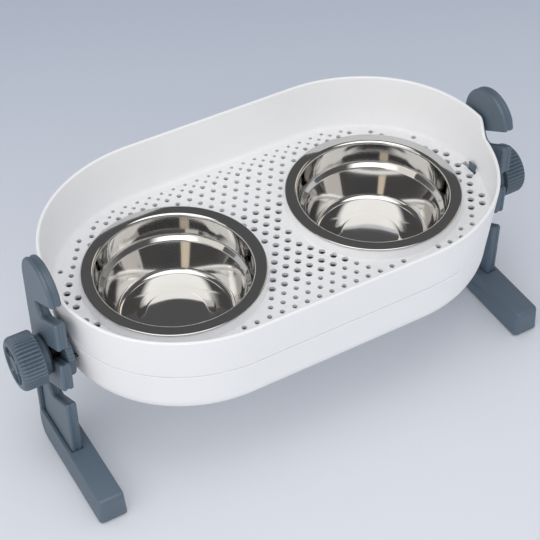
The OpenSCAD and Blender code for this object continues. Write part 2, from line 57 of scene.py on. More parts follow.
# %% [markdown]
# The photograph is taken from the front left, well above the tray. A long lens far away keeps the
# uprights almost parallel. The place, the aim and the lens come from fitting both bowl rims, the feet
# and the drain holes, so the camera is set once and never touched again.

# %% Camera
CAMERA_PLACE = Vector((-0.48505, -0.81977, 1.01745))
CAMERA_AIM = Vector((-0.02848, -0.03739, 0.15))
CAMERA_LENS = 97.78


def linked(name, data):
    """A new object, linked to the scene."""
    made = bpy.data.objects.new(name, data)
    bpy.context.scene.collection.objects.link(made)
    return made


camera_data = bpy.data.cameras.new("photo_camera")
camera_data.lens = CAMERA_LENS
camera_data.sensor_width = 36
camera_data.clip_start = 0.05
camera = linked("photo_camera", camera_data)
camera.location = CAMERA_PLACE
camera.rotation_euler = (CAMERA_AIM - CAMERA_PLACE).to_track_quat("-Z", "Y").to_euler()
bpy.context.scene.camera = camera
bpy.context.scene.view_settings.view_transform = "Standard"
print("camera", camera.location[:], "lens", CAMERA_LENS)

# %% [markdown]
# Finishes are node networks. Writing them as Python sums is easier to read than wiring nodes by hand:
# a Value wraps one socket, its operators add Math nodes, and its node method adds any other node.
# The same class serves the Geometry Nodes trees further down, because Math nodes work in both.

# %% Node maths
class Value:
    """One socket of a node tree that can be used in sums."""

    def __init__(self, tree, socket):
        self.tree = tree
        self.socket = socket

    def node(self, kind, settings=None, output=0, **inputs):
        """Any node. Inputs go by name, with _ for a blank, or by number as i0, i1 and i2."""
        made = self.tree.nodes.new(kind)
        for name, setting in (settings or {}).items():
            setattr(made, name, setting)
        for name, given in inputs.items():
            key = int(name[1:]) if name[0] == "i" and name[1:].isdigit() else name.replace("_", " ")
            plug(self.tree, made.inputs[key], given)
        return Value(self.tree, made.outputs[output])

    def math(self, operation, other=0.0):
        return self.node("ShaderNodeMath", {"operation": operation}, i0=self, i1=other)

    def rising(self, low, high):
        """A soft step from 0 at low to 1 at high."""
        return self.node("ShaderNodeMapRange", {"interpolation_type": "SMOOTHSTEP"}, Value=self,
                         From_Min=low, From_Max=high)

    def __add__(self, other):
        return self.math("ADD", other)

    def __sub__(self, other):
        return self.math("SUBTRACT", other)

    def __mul__(self, other):
        return self.math("MULTIPLY", other)

    def __truediv__(self, other):
        return self.math("DIVIDE", other)

    def __lt__(self, other):
        return self.math("LESS_THAN", other)

    def __gt__(self, other):
        return self.math("GREATER_THAN", other)

    def __rsub__(self, other):
        return self * -1 + other

    def __rtruediv__(self, other):
        return self.math("POWER", -1) * other

    def __abs__(self):
        return self.math("ABSOLUTE")

    __radd__ = __add__
    __rmul__ = __mul__


def plug(tree, socket, given):
    """Links a Value to a socket, or sets a plain number, colour or vector on it."""
    if isinstance(given, Value):
        tree.links.new(given.socket, socket)
    else:
        socket.default_value = given


def across(a, b):
    """Distance from two steps at a right angle."""
    return (a * a + b * b).math("SQRT")


def between(tree, factor, low, high):
    """Colour between two colours."""
    mixed = tree.nodes.new("ShaderNodeMix")
    mixed.data_type = "RGBA"
    for socket, given in zip((0, 6, 7), (factor, low, high)):
        plug(tree, mixed.inputs[socket], (*given, 1) if isinstance(given, tuple) else given)
    return Value(tree, mixed.outputs[2])


class Finish:
    """A material with one Principled shader and Object coordinates at hand."""

    def __init__(self, name, **constants):
        self.material = bpy.data.materials.new(name)
        self.material.use_nodes = True
        self.tree = self.material.node_tree
        self.shader = self.tree.nodes["Principled BSDF"]
        for socket, setting in constants.items():
            self.shader.inputs[socket.replace("_", " ")].default_value = setting
        self.place = self.node("ShaderNodeTexCoord", output="Object")
        split = self.tree.nodes.new("ShaderNodeSeparateXYZ")
        plug(self.tree, split.inputs[0], self.place)
        self.x, self.y, self.z = (Value(self.tree, socket) for socket in split.outputs)

    def node(self, kind, settings=None, output=0, **inputs):
        return Value(self.tree, None).node(kind, settings, output, **inputs)

    def noise(self, scale, detail=2.0, vector=None, rough=0.5):
        return self.node("ShaderNodeTexNoise", Vector=vector or self.place, Scale=scale, Detail=detail,
                         Roughness=rough)

    def between(self, factor, low, high):
        return between(self.tree, factor, low, high)

    def bump(self, height, strength, distance):
        return self.node("ShaderNodeBump", Height=height, Strength=strength, Distance=distance)

    def feed(self, **links):
        for socket, value in links.items():
            plug(self.tree, self.shader.inputs[socket.replace("_", " ")], value)
        return self.material


print("node maths ready")

# %% [markdown]
# White moulded plastic: a satin skin with a very fine mottle, faint cloudiness in the tone and a
# slightly glossier patch here and there. A plain white would look like paper, so noise moves the tone,
# the gloss and the bump a little. It never turns pure white, so that shadows keep their shape.

# %% White plastic
def white_plastic():
    finish = Finish("white_plastic", IOR=1.46)
    cloud = finish.noise(14, 3)
    grain = finish.noise(900, 2)
    peel = finish.noise(260, 2)
    colour = finish.between(cloud, (0.813, 0.813, 0.82), (0.843, 0.841, 0.845))
    rough = 0.36 + cloud * 0.10 + grain * 0.05
    height = peel * 0.6 + grain * 0.4
    return finish.feed(Base_Color=colour, Roughness=rough, Normal=finish.bump(height, 0.10, 0.0004))


finishes = {"white_plastic": white_plastic()}
print("finishes", list(finishes))

# %% [markdown]
# Blue-grey moulded plastic of the legs, feet, knobs and discs. The mould is spark eroded, which gives
# a fine even grain; the tone drifts a little, and handling polishes it in soft patches. A picture could
# show that too, but noise on Object coordinates needs no unwrapping and has no seams.

# %% Grey plastic
def grey_plastic():
    finish = Finish("grey_plastic", IOR=1.7)
    cloud = finish.noise(22, 3)
    grain = finish.noise(1500, 2)
    colour = finish.between(cloud, (0.061, 0.093, 0.127), (0.076, 0.112, 0.15))
    colour = finish.between(grain, colour, (0.085, 0.124, 0.164))
    rough = 0.36 + cloud * 0.12 + grain * 0.06
    return finish.feed(Base_Color=colour, Roughness=rough, Normal=finish.bump(grain, 0.25, 0.0003))


finishes["grey_plastic"] = grey_plastic()
print("finishes", list(finishes))

# %% [markdown]
# Stainless steel sheet, spun and polished. Polishing on a lathe leaves fine rings about the axis of
# each bowl, so roughness and bump follow the distance from that axis, and a soft cloud breaks them up.
# Anisotropy could draw the highlights out as well, but it needs a tangent at every point, and the rings
# alone come close. Each bowl has an axis of its own, so each gets its own steel.

# %% Polished steel
BOWL_X = 101.0


def polished_steel(name, centre_x):
    finish = Finish(name, Metallic=1.0)
    radius = across(finish.x - centre_x, finish.y)
    ring_place = finish.node("ShaderNodeCombineXYZ", i0=radius, i1=finish.z)
    rings = finish.noise(2600, 3, ring_place, 0.7)
    cloud = finish.noise(30, 2)
    colour = finish.between(cloud, (0.62, 0.615, 0.61), (0.68, 0.675, 0.67))
    rough = 0.035 + rings * 0.03 + cloud * 0.03
    return finish.feed(Base_Color=colour, Roughness=rough, Normal=finish.bump(rings, 0.02, 0.0001))


for side, sign in SIDES.items():
    finishes[f"steel_{side}"] = polished_steel(f"polished_steel_{side}", sign * BOWL_X * MM)
print("finishes", list(finishes))

# %% [markdown]
# The hidden metal and the pads: blackened steel with thin worn tops, turned brass with rings, and
# matt rubber with dust in its grain. They hardly show, so a noise or two is enough for each.

# %% Dark steel, brass and rubber
def dark_steel():
    finish = Finish("dark_steel", Metallic=0.85)
    wear = finish.noise(420, 4)
    colour = finish.between(wear, (0.030, 0.032, 0.036), (0.085, 0.088, 0.094))
    return finish.feed(Base_Color=colour, Roughness=0.34 + wear * 0.2,
                       Normal=finish.bump(finish.noise(1800, 2), 0.2, 0.0002))


def brass():
    finish = Finish("brass", Metallic=1.0)
    turned = finish.noise(2200, 2, finish.node("ShaderNodeCombineXYZ", i0=finish.x))
    colour = finish.between(turned, (0.52, 0.36, 0.14), (0.64, 0.46, 0.2))
    return finish.feed(Base_Color=colour, Roughness=0.25 + turned * 0.2)


def rubber():
    finish = Finish("rubber", IOR=1.5)
    dust = finish.noise(700, 3)
    colour = finish.between(dust, (0.016, 0.017, 0.019), (0.04, 0.042, 0.045))
    return finish.feed(Base_Color=colour, Roughness=0.75 + dust * 0.15,
                       Normal=finish.bump(dust, 0.4, 0.0004))


finishes.update(dark_steel=dark_steel(), brass=brass(), rubber=rubber())
print("finishes", list(finishes))

# %% [markdown]
# Every piece is built in millimetres and turned into metres once. A modifier runs on a holder object and
# only its result is kept, because a plain mesh exports as it is. A piece that stands for a CAD node takes
# over its body, so the joints move it without more words.

# %% Mesh helpers
record = frame["record"]
slot_of = {part["node"]: part["material_slot"] for part in record["subparts"]}
body_of = {node: body for body, nodes in record["behaviour"]["bodies"].items() for node in nodes}
SMOOTH_ANGLE = math.radians(32)


def finished(mesh, material, scale=MM):
    """Merges, turns outwards, scales and smooths a mesh."""
    work = bmesh.new()
    work.from_mesh(mesh)
    bmesh.ops.remove_doubles(work, verts=work.verts, dist=1e-4 * MM / scale)
    bmesh.ops.recalc_face_normals(work, faces=work.faces)
    bmesh.ops.scale(work, vec=(scale,) * 3, verts=work.verts)
    work.to_mesh(mesh)
    work.free()
    mesh.materials.clear()
    mesh.materials.append(material)
    mesh.shade_smooth()
    mesh.set_sharp_from_angle(angle=SMOOTH_ANGLE)
    return mesh


def piece(name, mesh, node):
    """Puts a finished mesh in the place of a CAD node."""
    made = linked(name, mesh)
    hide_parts(node)
    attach(made, body_of[node])
    print(name, "for", node, len(mesh.polygons), "faces")


def mesh_of(name, points, faces):
    mesh = bpy.data.meshes.new(name)
    mesh.from_pydata(points, [], faces)
    return mesh


def mesh_from(work, name):
    """A mesh from a bmesh, which is freed."""
    mesh = bpy.data.meshes.new(name)
    work.to_mesh(mesh)
    work.free()
    return mesh


def evaluated(mesh, kind, set_up):
    """Runs one modifier on a mesh and returns the result as a plain mesh."""
    holder = linked("holder", mesh)
    set_up(holder.modifiers.new(kind.lower(), kind))
    depsgraph = bpy.context.evaluated_depsgraph_get()
    made = bpy.data.meshes.new_from_object(holder.evaluated_get(depsgraph))
    bpy.data.objects.remove(holder)
    return made


def with_modifier(mesh, kind, **settings):
    def set_up(modifier):
        for name, setting in settings.items():
            setattr(modifier, name, setting)

    return evaluated(mesh, kind, set_up)


def without(mesh, cutter):
    """A mesh with the cutter taken out of it."""
    tool = linked("cutter", cutter)
    made = with_modifier(mesh, "BOOLEAN", operation="DIFFERENCE", solver="EXACT", object=tool)
    bpy.data.objects.remove(tool)
    return made


def grid_faces(rows, columns, close_rows=True, close_columns=False):
    """Quads of a grid of points, closed round either way."""
    faces = []
    for r in range(rows if close_rows else rows - 1):
        for c in range(columns if close_columns else columns - 1):
            r2, c2 = (r + 1) % rows, (c + 1) % columns
            faces.append((r * columns + c, r * columns + c2, r2 * columns + c2, r2 * columns + c))
    return faces


def arc(centre, radius, start, end, steps):
    """Points of an arc, angles in degrees."""
    turns = [math.radians(start + (end - start) * i / steps) for i in range(steps + 1)]
    return [(centre[0] + radius * math.cos(a), centre[1] + radius * math.sin(a)) for a in turns]


def turned(profile, steps, place):
    """Points and faces of a profile of (radius, height) turned about an axis.
    place gives a point from radius times cosine, radius times sine and height."""
    turns = [2 * math.pi * i / steps for i in range(steps)]
    points = [place(r * math.cos(a), r * math.sin(a), h) for a in turns for r, h in profile]
    return points, grid_faces(steps, len(profile))


# %% [markdown]
# The tray follows a four-centre oval, the way a draughtsman draws one: a small arc at each tip, a
# larger one at each shoulder and straight long sides. Each station keeps its outward normal, so a wall
# profile of offset and height can be swept round it, and the top edge may change along the way. A
# stretched circle would be quicker to make, but it bends too sharply at the tips.

# %% Oval stations
HALF_L, HALF_W, OVAL_K = 205.5, 112.5, 20.0
JOIN_COS, JOIN_SIN = 0.6, 0.8
TIP_R = HALF_W - (1 - JOIN_SIN) * OVAL_K
TIP_X = HALF_L - TIP_R
SHOULDER_R = TIP_R + OVAL_K
SHOULDER_X, SHOULDER_Y = TIP_X - JOIN_COS * OVAL_K, JOIN_SIN * OVAL_K
JOIN = math.degrees(math.atan2(JOIN_SIN, JOIN_COS))
TIP_STEPS, SHOULDER_STEPS, SIDE_STEPS = 72, 14, 8


def oval_stations():
    quarter = []
    for x, y, radius, start, end, steps in ((TIP_X, 0, TIP_R, 0, JOIN, TIP_STEPS),
                                            (SHOULDER_X, -SHOULDER_Y, SHOULDER_R, JOIN, 90, SHOULDER_STEPS)):
        for nx, ny in arc((0, 0), 1, start, end, steps)[:-1]:
            quarter.append((x + radius * nx, y + radius * ny, nx, ny))
    for i in range(SIDE_STEPS + 1):
        quarter.append((SHOULDER_X * (1 - i / SIDE_STEPS), HALF_W, 0.0, 1.0))
    upper = quarter + [(-x, y, -nx, ny) for x, y, nx, ny in reversed(quarter[:-1])]
    return upper + [(x, -y, nx, -ny) for x, y, nx, ny in reversed(upper[1:-1])]


STATIONS = oval_stations()
print("oval of", len(STATIONS), "stations")


def swept(profile_at):
    """Points of a profile swept round the oval; profile_at gives (offset, height) points for a depth y."""
    points, count = [], 0
    for x, y, nx, ny in STATIONS:
        profile = profile_at(y)
        count = len(profile)
        points += [(x + u * nx, y + u * ny, z) for u, z in profile]
    return points, count


# %% [markdown]
# The upper shell is one moulding: wall, lip, splash guard, deck and two collars. The guard stands high
# at the back, falls in an S beside the pivots and runs out in the front lip. A round of half the wall
# thickness ends the wall at the top, a fillet joins it to the deck, and the lower edge is eased so that
# the seam to the basin shows as a fine dark line. An extruded oval with Solidify and Bevel modifiers
# would come near it; a drawn section gives each of these rounds its own size.

# %% Shell profile
SEAM_Z, DECK_Z, DECK_T, WALL_T = 138.0, 146.0, 3.0, 3.0
LIP_Z, END_Z, GUARD_Z = 181.5, 184.0, 199.5
LEAN = math.tan(math.radians(5))
PIVOT_Y, PIVOT_Z = -6.0, 124.0
GUARD_FRONT, GUARD_FALL, LIP_FALL = PIVOT_Y + 3, 15.0, 60.0
SEAM_U = WALL_T - (DECK_Z - SEAM_Z) * LEAN
FILLET, SEAM_ROUND, SEAM_GAP, LAND = 4.5, 0.5, 0.3, 0.4


def shell_u(z):
    return SEAM_U + (z - SEAM_Z) * LEAN


def wall_top(y):
    """Height of the wall's top edge at depth y."""
    foot = GUARD_FRONT - GUARD_FALL
    if y >= GUARD_FRONT:
        return GUARD_Z
    if y >= foot:
        share = (y - foot) / GUARD_FALL
        return END_Z + (GUARD_Z - END_Z) * (1 - math.cos(math.pi * share)) / 2
    share = max(0.0, (y - foot + LIP_FALL) / LIP_FALL)
    return LIP_Z + (END_Z - LIP_Z) * share * share


def shell_profile(y):
    top, half = wall_top(y), WALL_T / 2
    inner = shell_u(DECK_Z + FILLET) - WALL_T
    points = [(inner - FILLET - LAND, DECK_Z)]
    points += arc((inner - FILLET, DECK_Z + FILLET), FILLET, -90, 0, 7)
    low, high = DECK_Z + FILLET, top - half
    for share in (0.03, 0.25, 0.5, 0.75, 0.97):
        z = low + (high - low) * share
        points.append((shell_u(z) - WALL_T, z))
    points += arc((shell_u(high) - half, high), half, 180, 0, 8)
    foot = SEAM_Z + SEAM_GAP
    for share in (0.97, 0.7, 0.4, 0.1, 0.03):
        z = foot + SEAM_ROUND + (high - foot - SEAM_ROUND) * share
        points.append((shell_u(z), z))
    points += arc((SEAM_U - SEAM_ROUND, foot + SEAM_ROUND), SEAM_ROUND, 0, -90, 4)
    points += [(SEAM_U - WALL_T, foot), (shell_u(DECK_Z - DECK_T) - WALL_T, DECK_Z - DECK_T)]
    return points + [(shell_u(DECK_Z - DECK_T) - WALL_T - LAND, DECK_Z - DECK_T)]


print("wall top from", wall_top(-HALF_W), "to", wall_top(HALF_W))


# %% [markdown]
# Each bowl sits in a collar: a flat seat under the rolled edge, a steep wall down to the deck and a
# hollow underside. It is turned about the bowl's axis and ends in two circles, and the deck is filled in
# between those and the wall. A boolean union could join them too, but filling leaves clean edges for the
# holes that come next.

# %% Collars and deck
RIM_R, RIM_W, RIM_Z, ROLL_R = 80.0, 12.0, 157.0, 1.1
BOWL_GAP, COLLAR_W, SEAT_W, SEAT_PLAY = 1.5, 12.0, 9.5, 0.05
COLLAR_IN = RIM_R - RIM_W + BOWL_GAP
COLLAR_OUT, SEAT_R = COLLAR_IN + COLLAR_W, COLLAR_IN + SEAT_W
SEAT_Z = RIM_Z - 2 * ROLL_R - SEAT_PLAY
COLLAR_T, COLLAR_FOOT_R, CREST_R = 2.0, 1.6, 1.4
COLLAR_STEPS = 120


def collar_profile():
    """From the deck's top, over the seat, to the deck's underside."""
    under = DECK_Z - DECK_T
    slope = math.degrees(math.atan2(SEAT_Z - DECK_Z, COLLAR_OUT - SEAT_R))
    ease = math.tan(math.radians(slope / 2))
    foot, crest = COLLAR_OUT + COLLAR_FOOT_R * ease, SEAT_R - CREST_R * ease
    points = [(foot + LAND, DECK_Z)]
    points += arc((foot, DECK_Z + COLLAR_FOOT_R), COLLAR_FOOT_R, -90, -90 - slope, 6)
    points += arc((crest, SEAT_Z - CREST_R), CREST_R, 90 - slope, 90, 6)
    points += arc((COLLAR_IN + 1, SEAT_Z - 1), 1, 90, 180, 3)
    points += [(COLLAR_IN, under), (COLLAR_IN + COLLAR_T, under), (COLLAR_IN + COLLAR_T, SEAT_Z - DECK_T)]
    points += [(SEAT_R - COLLAR_T, SEAT_Z - DECK_T), (COLLAR_OUT - COLLAR_T, under)]
    return points + [(COLLAR_OUT + LAND, under)]


def loop_edges(work, loop):
    return [work.edges.get((loop[i - 1], loop[i])) for i in range(len(loop))]


def shell_mesh():
    work = bmesh.new()
    tops, unders = [], []

    def add(points, faces, count):
        made = [work.verts.new(p) for p in points]
        for face in faces:
            work.faces.new([made[i] for i in face])
        tops.append(made[0::count])
        unders.append(made[count - 1::count])

    points, count = swept(shell_profile)
    add(points, grid_faces(len(STATIONS), count), count)
    profile = collar_profile()
    for sign in SIDES.values():
        points, faces = turned(profile, COLLAR_STEPS, lambda a, b, h: (sign * BOWL_X + a, b, h))
        add(points, faces, len(profile))
    for loops in (tops, unders):
        edges = [edge for loop in loops for edge in loop_edges(work, loop)]
        bmesh.ops.triangle_fill(work, edges=edges, use_beauty=True)
    return finished(mesh_from(work, "shell"), finishes["white_plastic"])


shell = shell_mesh()
print("shell blank", len(shell.polygons), "faces")

# %% [markdown]
# Drain holes repeat by a rule, so a Geometry Nodes tree makes them: rows a fixed step apart, every
# other row moved by half a step, big holes in the middle rows, smaller ones outside and two rows of
# fine ones along the guard. Array modifiers could make the rows, but here each hole can ask whether it
# fits, and stays only where it keeps its land to the wall and to the collars. The holes are instances of
# one low cylinder, and a boolean takes them out of the deck.

# %% Drain holes
HOLE_RULE = {
    "Hole step": 12.2 * MM, "Row step": 9.15 * MM, "Fine row step": 5.6 * MM,
    "Big radius": 3.1 * MM, "Middle radius": 2.35 * MM, "Fine radius": 1.7 * MM,
    "Big land": 1.9 * MM, "Edge land": 4.0 * MM,
    "Bowl axis": BOWL_X * MM, "Collar land": (COLLAR_OUT + 2) * MM,
}
COLUMNS, FIRST_ROW, LAST_ROW, ROW_COUNT = 35, -11, 10, 24
BIG_ROWS = (-6, 4)
DRILL_STEPS, DRILL_L, DRILL_Z = 24, 6.0, DECK_Z - 2
HOOK_T, SLIT_W, SLIT_H, SLIT_X, SLIT_Y = 1.6, 1.2, 5.0, 195.2, (-18.3, 0.0)


def tree_with(name, sizes):
    """A Geometry Nodes tree with one geometry input and named number inputs."""
    tree = bpy.data.node_groups.new(name, "GeometryNodeTree")
    tree.interface.new_socket("Geometry", in_out="INPUT", socket_type="NodeSocketGeometry")
    for label, size in sizes.items():
        socket = tree.interface.new_socket(label, in_out="INPUT", socket_type="NodeSocketFloat")
        socket.default_value = size
    tree.interface.new_socket("Geometry", in_out="OUTPUT", socket_type="NodeSocketGeometry")
    given = tree.nodes.new("NodeGroupInput")
    inputs = {socket.name: Value(tree, socket) for socket in given.outputs if socket.name}
    return tree, inputs


def end_tree(tree, geometry, material):
    made = geometry.node("GeometryNodeRealizeInstances", Geometry=geometry)
    made = made.node("GeometryNodeSetMaterial", Geometry=made, Material=material)
    out = tree.nodes.new("NodeGroupOutput")
    plug(tree, out.inputs[0], made)


def run_tree(mesh, tree, sizes):
    """Runs a tree on a mesh, with its inputs set by their identifiers."""

    def set_up(modifier):
        modifier.node_group = tree
        for item in tree.interface.items_tree:
            if item.in_out == "INPUT" and item.name in sizes:
                modifier[item.identifier] = sizes[item.name]

    return evaluated(mesh, "NODES", set_up)


def oval_depth(x, y):
    """How deep a point lies inside the deck outline."""
    ax, ay = abs(x), abs(y)
    straight = HALF_W * MM - ay
    shoulder = SHOULDER_R * MM - across(ax - SHOULDER_X * MM, ay + SHOULDER_Y * MM)
    tip = TIP_R * MM - across(ax - TIP_X * MM, ay)
    by_shoulder = ax > SHOULDER_X * MM
    by_tip = ay * (JOIN_COS / JOIN_SIN) < ax - TIP_X * MM
    outer = by_tip * tip + (1 - by_tip) * shoulder
    return by_shoulder * outer + (1 - by_shoulder) * straight


def slit_boxes():
    """Centres and sizes of the slits round the brackets' hooks, which end the brackets outside."""
    hook_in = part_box("bracket_right")[1].x / MM - HOOK_T
    start, (low, high) = hook_in - SLIT_W, SLIT_Y
    boxes = []
    for sign in SIDES.values():
        for y in SLIT_Y:
            boxes.append(((sign * (SLIT_X + HALF_L) / 2, y), (HALF_L - SLIT_X, SLIT_W)))
        boxes.append(((sign * (start + HALF_L) / 2, (low + high) / 2), (HALF_L - start, high - low + SLIT_W)))
    return boxes


def drain_tree():
    tree, size = tree_with("drain_holes", HOLE_RULE)
    start = size["Geometry"]
    points = start.node("GeometryNodePoints", Count=COLUMNS * ROW_COUNT)
    index = start.node("GeometryNodeInputIndex")
    row = (index / COLUMNS).math("FLOOR") + FIRST_ROW
    column = index - (row - FIRST_ROW) * COLUMNS
    odd = row - (row / 2).math("FLOOR") * 2
    fine_row = (row - LAST_ROW).math("MAXIMUM", 0)
    x = (column - (COLUMNS - 1) / 2 + odd * 0.5) * size["Hole step"]
    y = row.math("MINIMUM", LAST_ROW) * size["Row step"] + fine_row * size["Fine row step"]
    big = (row > BIG_ROWS[0] - 0.5) * (row < BIG_ROWS[1] + 0.5)
    fine = row > LAST_ROW + 0.5
    outer = fine * size["Fine radius"] + (1 - fine) * size["Middle radius"]
    radius = big * size["Big radius"] + (1 - big) * outer
    land = big * size["Big land"] + (1 - big) * size["Edge land"]
    to_bowl = across(abs(x) - size["Bowl axis"], y)
    keep = (oval_depth(x, y) > radius + land) * (to_bowl > size["Collar land"])
    spot = start.node("ShaderNodeCombineXYZ", i0=x, i1=y, i2=DRILL_Z * MM)
    points = start.node("GeometryNodeSetPosition", Geometry=points, Position=spot)
    drill = start.node("GeometryNodeMeshCylinder", Vertices=DRILL_STEPS, Radius=1.0, Depth=DRILL_L * MM)
    scale = start.node("ShaderNodeCombineXYZ", i0=radius, i1=radius, i2=1.0)
    drills = start.node("GeometryNodeInstanceOnPoints", Points=points, Selection=keep, Instance=drill,
                        Scale=scale)
    cutters = [start.node("GeometryNodeRealizeInstances", Geometry=drills)]
    for centre, spread in slit_boxes():
        slit = start.node("GeometryNodeMeshCube", Size=Vector((*spread, SLIT_H)) * MM)
        middle = Vector((*centre, DECK_Z - DECK_T / 2)) * MM
        cutters.append(start.node("GeometryNodeTransform", Geometry=slit, Translation=middle))
    boolean = tree.nodes.new("GeometryNodeMeshBoolean")
    boolean.operation = "DIFFERENCE"
    boolean.solver = "EXACT"
    plug(tree, boolean.inputs["Mesh 1"], start)
    for cutter in cutters:
        tree.links.new(cutter.socket, boolean.inputs["Mesh 2"])
    end_tree(tree, Value(tree, boolean.outputs[0]), finishes["white_plastic"])
    return tree


shell = finished(run_tree(shell, drain_tree(), HOLE_RULE), finishes["white_plastic"], 1.0)
piece("tray_shell", shell, "upper_shell")

# %% [markdown]
# The drip basin closes the tray from below: a drafted wall, a generous bottom round and a flat floor.
# A thin locating rim stands inside the seam. The wall is swept as the shell's is, and the floor is filled
# in with one face below and one inside. The hub bores and the gaps for the brackets could be part of the
# section, but they are few and hardly show, so booleans take them out afterwards.

# %% Drip basin
BASIN_Z, BASIN_R = 89.0, 18.0
DRAFT_DEG = 4.8
DRAFT = math.tan(math.radians(DRAFT_DEG))
LAP_H, LAP_T, LAP_GAP = 4.0, 2.0, 0.3
HUB_R, HUB_GAP = 10.8, 0.3
CUT_FROM, BORE_TO, GAP_TO, GAP_HALF = 150.0, 260.0, 201.5, 20.0


def basin_u(z):
    return SEAM_U - (SEAM_Z - z) * DRAFT


def basin_profile(y):
    """The same section at every depth y."""
    turn_z = BASIN_Z + BASIN_R * (1 - math.sin(math.radians(DRAFT_DEG)))
    turn_u = basin_u(turn_z) - BASIN_R * math.cos(math.radians(DRAFT_DEG))
    lap_u = SEAM_U - WALL_T - LAP_GAP
    points = [(turn_u - 1, BASIN_Z)] + arc((turn_u, BASIN_Z + BASIN_R), BASIN_R, -90, -DRAFT_DEG, 14)
    brim = SEAM_Z - SEAM_GAP
    for share in (0.05, 0.5, 0.95):
        z = turn_z + (brim - SEAM_ROUND - turn_z) * share
        points.append((basin_u(z), z))
    points += arc((SEAM_U - SEAM_ROUND, brim - SEAM_ROUND), SEAM_ROUND, -DRAFT_DEG, 90, 4)
    points += [(lap_u, brim), (lap_u, SEAM_Z + LAP_H), (lap_u - LAP_T, SEAM_Z + LAP_H)]
    points += [(lap_u - LAP_T, SEAM_Z - LAP_H), (basin_u(SEAM_Z - LAP_H) - WALL_T, SEAM_Z - LAP_H - 1)]
    inner = arc((turn_u, BASIN_Z + BASIN_R), BASIN_R - WALL_T, -DRAFT_DEG, -90, 10)
    return points + inner + [(turn_u - 1, BASIN_Z + WALL_T)]


def rod(work, x0, x1, y, z, radius):
    """Adds a round bar along X, as a cutter."""
    turn = Matrix.Translation(((x0 + x1) / 2, y, z)) @ Matrix.Rotation(math.pi / 2, 4, "Y")
    bmesh.ops.create_cone(work, cap_ends=True, segments=48, radius1=radius, radius2=radius,
                          depth=x1 - x0, matrix=turn)


def block(work, low, high):
    """Adds a box, as a cutter."""
    size = Vector(high) - Vector(low)
    middle = (Vector(high) + Vector(low)) / 2
    bmesh.ops.create_cube(work, size=1, matrix=Matrix.Translation(middle) @ Matrix.Diagonal((*size, 1)))


def basin_mesh():
    points, count = swept(basin_profile)
    faces = grid_faces(len(STATIONS), count)
    faces += [tuple(range(row, len(points), count)) for row in (0, count - 1)]
    mesh = finished(mesh_of("basin", points, faces), finishes["white_plastic"], 1.0)
    bores, gaps = bmesh.new(), bmesh.new()
    for sign in SIDES.values():
        rod(bores, *sorted((sign * CUT_FROM, sign * BORE_TO)), PIVOT_Y, PIVOT_Z, HUB_R + HUB_GAP)
        start, end = sorted((sign * CUT_FROM, sign * GAP_TO))
        block(gaps, (start, PIVOT_Y - GAP_HALF, SEAM_Z - LAP_H - 2),
              (end, PIVOT_Y + GAP_HALF, SEAM_Z + LAP_H + 1))
    for cutters in (bores, gaps):
        mesh = without(mesh, mesh_from(cutters, "basin_cutters"))
    return finished(mesh, finishes["white_plastic"])


piece("tray_basin", basin_mesh(), "drip_basin")

# %% [markdown]
# The bowls are pressed from one sheet: a flat rim with a rolled edge, a straight upper wall, a sloping
# step for stacking, a drafted lower wall with a round floor corner, and a low disc raised in the floor.
# They could be spun with a Screw modifier; here the inner line is drawn once, the sheet thickness is laid
# outside it and both are turned together, which keeps every bend under control. Polished steel shows
# each slope by what it mirrors, so the lower wall leans a little more than in the CAD model.

# %% Bowls
BOWL_DEPTH, STEP_DEPTH, STEP_W, STEP_R, STEP_SLOPE = 54.0, 19.9, 5.0, 4.0, 45.0
BOWL_T, BOWL_DRAFT, FLOOR_ROUND, BEND_R, WALL_TAPER = 1.0, 20.6, 6.0, 3.0, 1.5
DISC_R, DISC_H, DISC_SLOPE_W = 27.5, 1.4, 6.0
DISC_EASE = ((2.0, 0.0), (0.8, 0.06), (-0.6, 0.3))
BOWL_STEPS, AXIS_R, HEART_R, MID_DEPTH = 144, 0.05, 12.0, 12.0


def bowl_line():
    """Inner line from the rolled edge to the axis."""
    wall = RIM_R - RIM_W
    upper = wall - WALL_TAPER
    lower = upper - STEP_W
    step, draft = math.radians(STEP_SLOPE), math.radians(BOWL_DRAFT)
    slant = (STEP_W - 2 * STEP_R * (1 - math.sin(step))) / math.cos(step)
    low = STEP_DEPTH + 2 * STEP_R * math.cos(step) + slant * math.sin(step)
    cone_r, cone_h = lower + STEP_R * (1 - math.cos(draft)), STEP_R * math.sin(draft) - low
    fall = cone_h + BOWL_DEPTH - FLOOR_ROUND * (1 - math.sin(draft))
    floor = cone_r - fall * math.tan(draft) - FLOOR_ROUND * math.cos(draft)
    base, crest = -BOWL_DEPTH, DISC_H - BOWL_DEPTH
    ring = DISC_R + DISC_SLOPE_W
    line = [(RIM_R - ROLL_R, 0.0), (RIM_R - ROLL_R - 0.5, 0.0), (wall + BEND_R + 0.5, 0.0)]
    line += arc((wall + BEND_R, -BEND_R), BEND_R, 90, 180, 8)
    line += [(wall - WALL_TAPER / 2, -MID_DEPTH)]
    line += arc((upper - STEP_R, -STEP_DEPTH), STEP_R, 0, STEP_SLOPE - 90, 9)
    line += arc((lower + STEP_R, -low), STEP_R, 90 + STEP_SLOPE, 180 - BOWL_DRAFT, 9)
    line += arc((floor, base + FLOOR_ROUND), FLOOR_ROUND, -BOWL_DRAFT, -90, 12)
    line += [(ring + run, base + rise) for run, rise in DISC_EASE]
    line += [(DISC_R - run, crest - rise) for run, rise in reversed(DISC_EASE)]
    return line + [(HEART_R, crest), (AXIS_R, crest)]


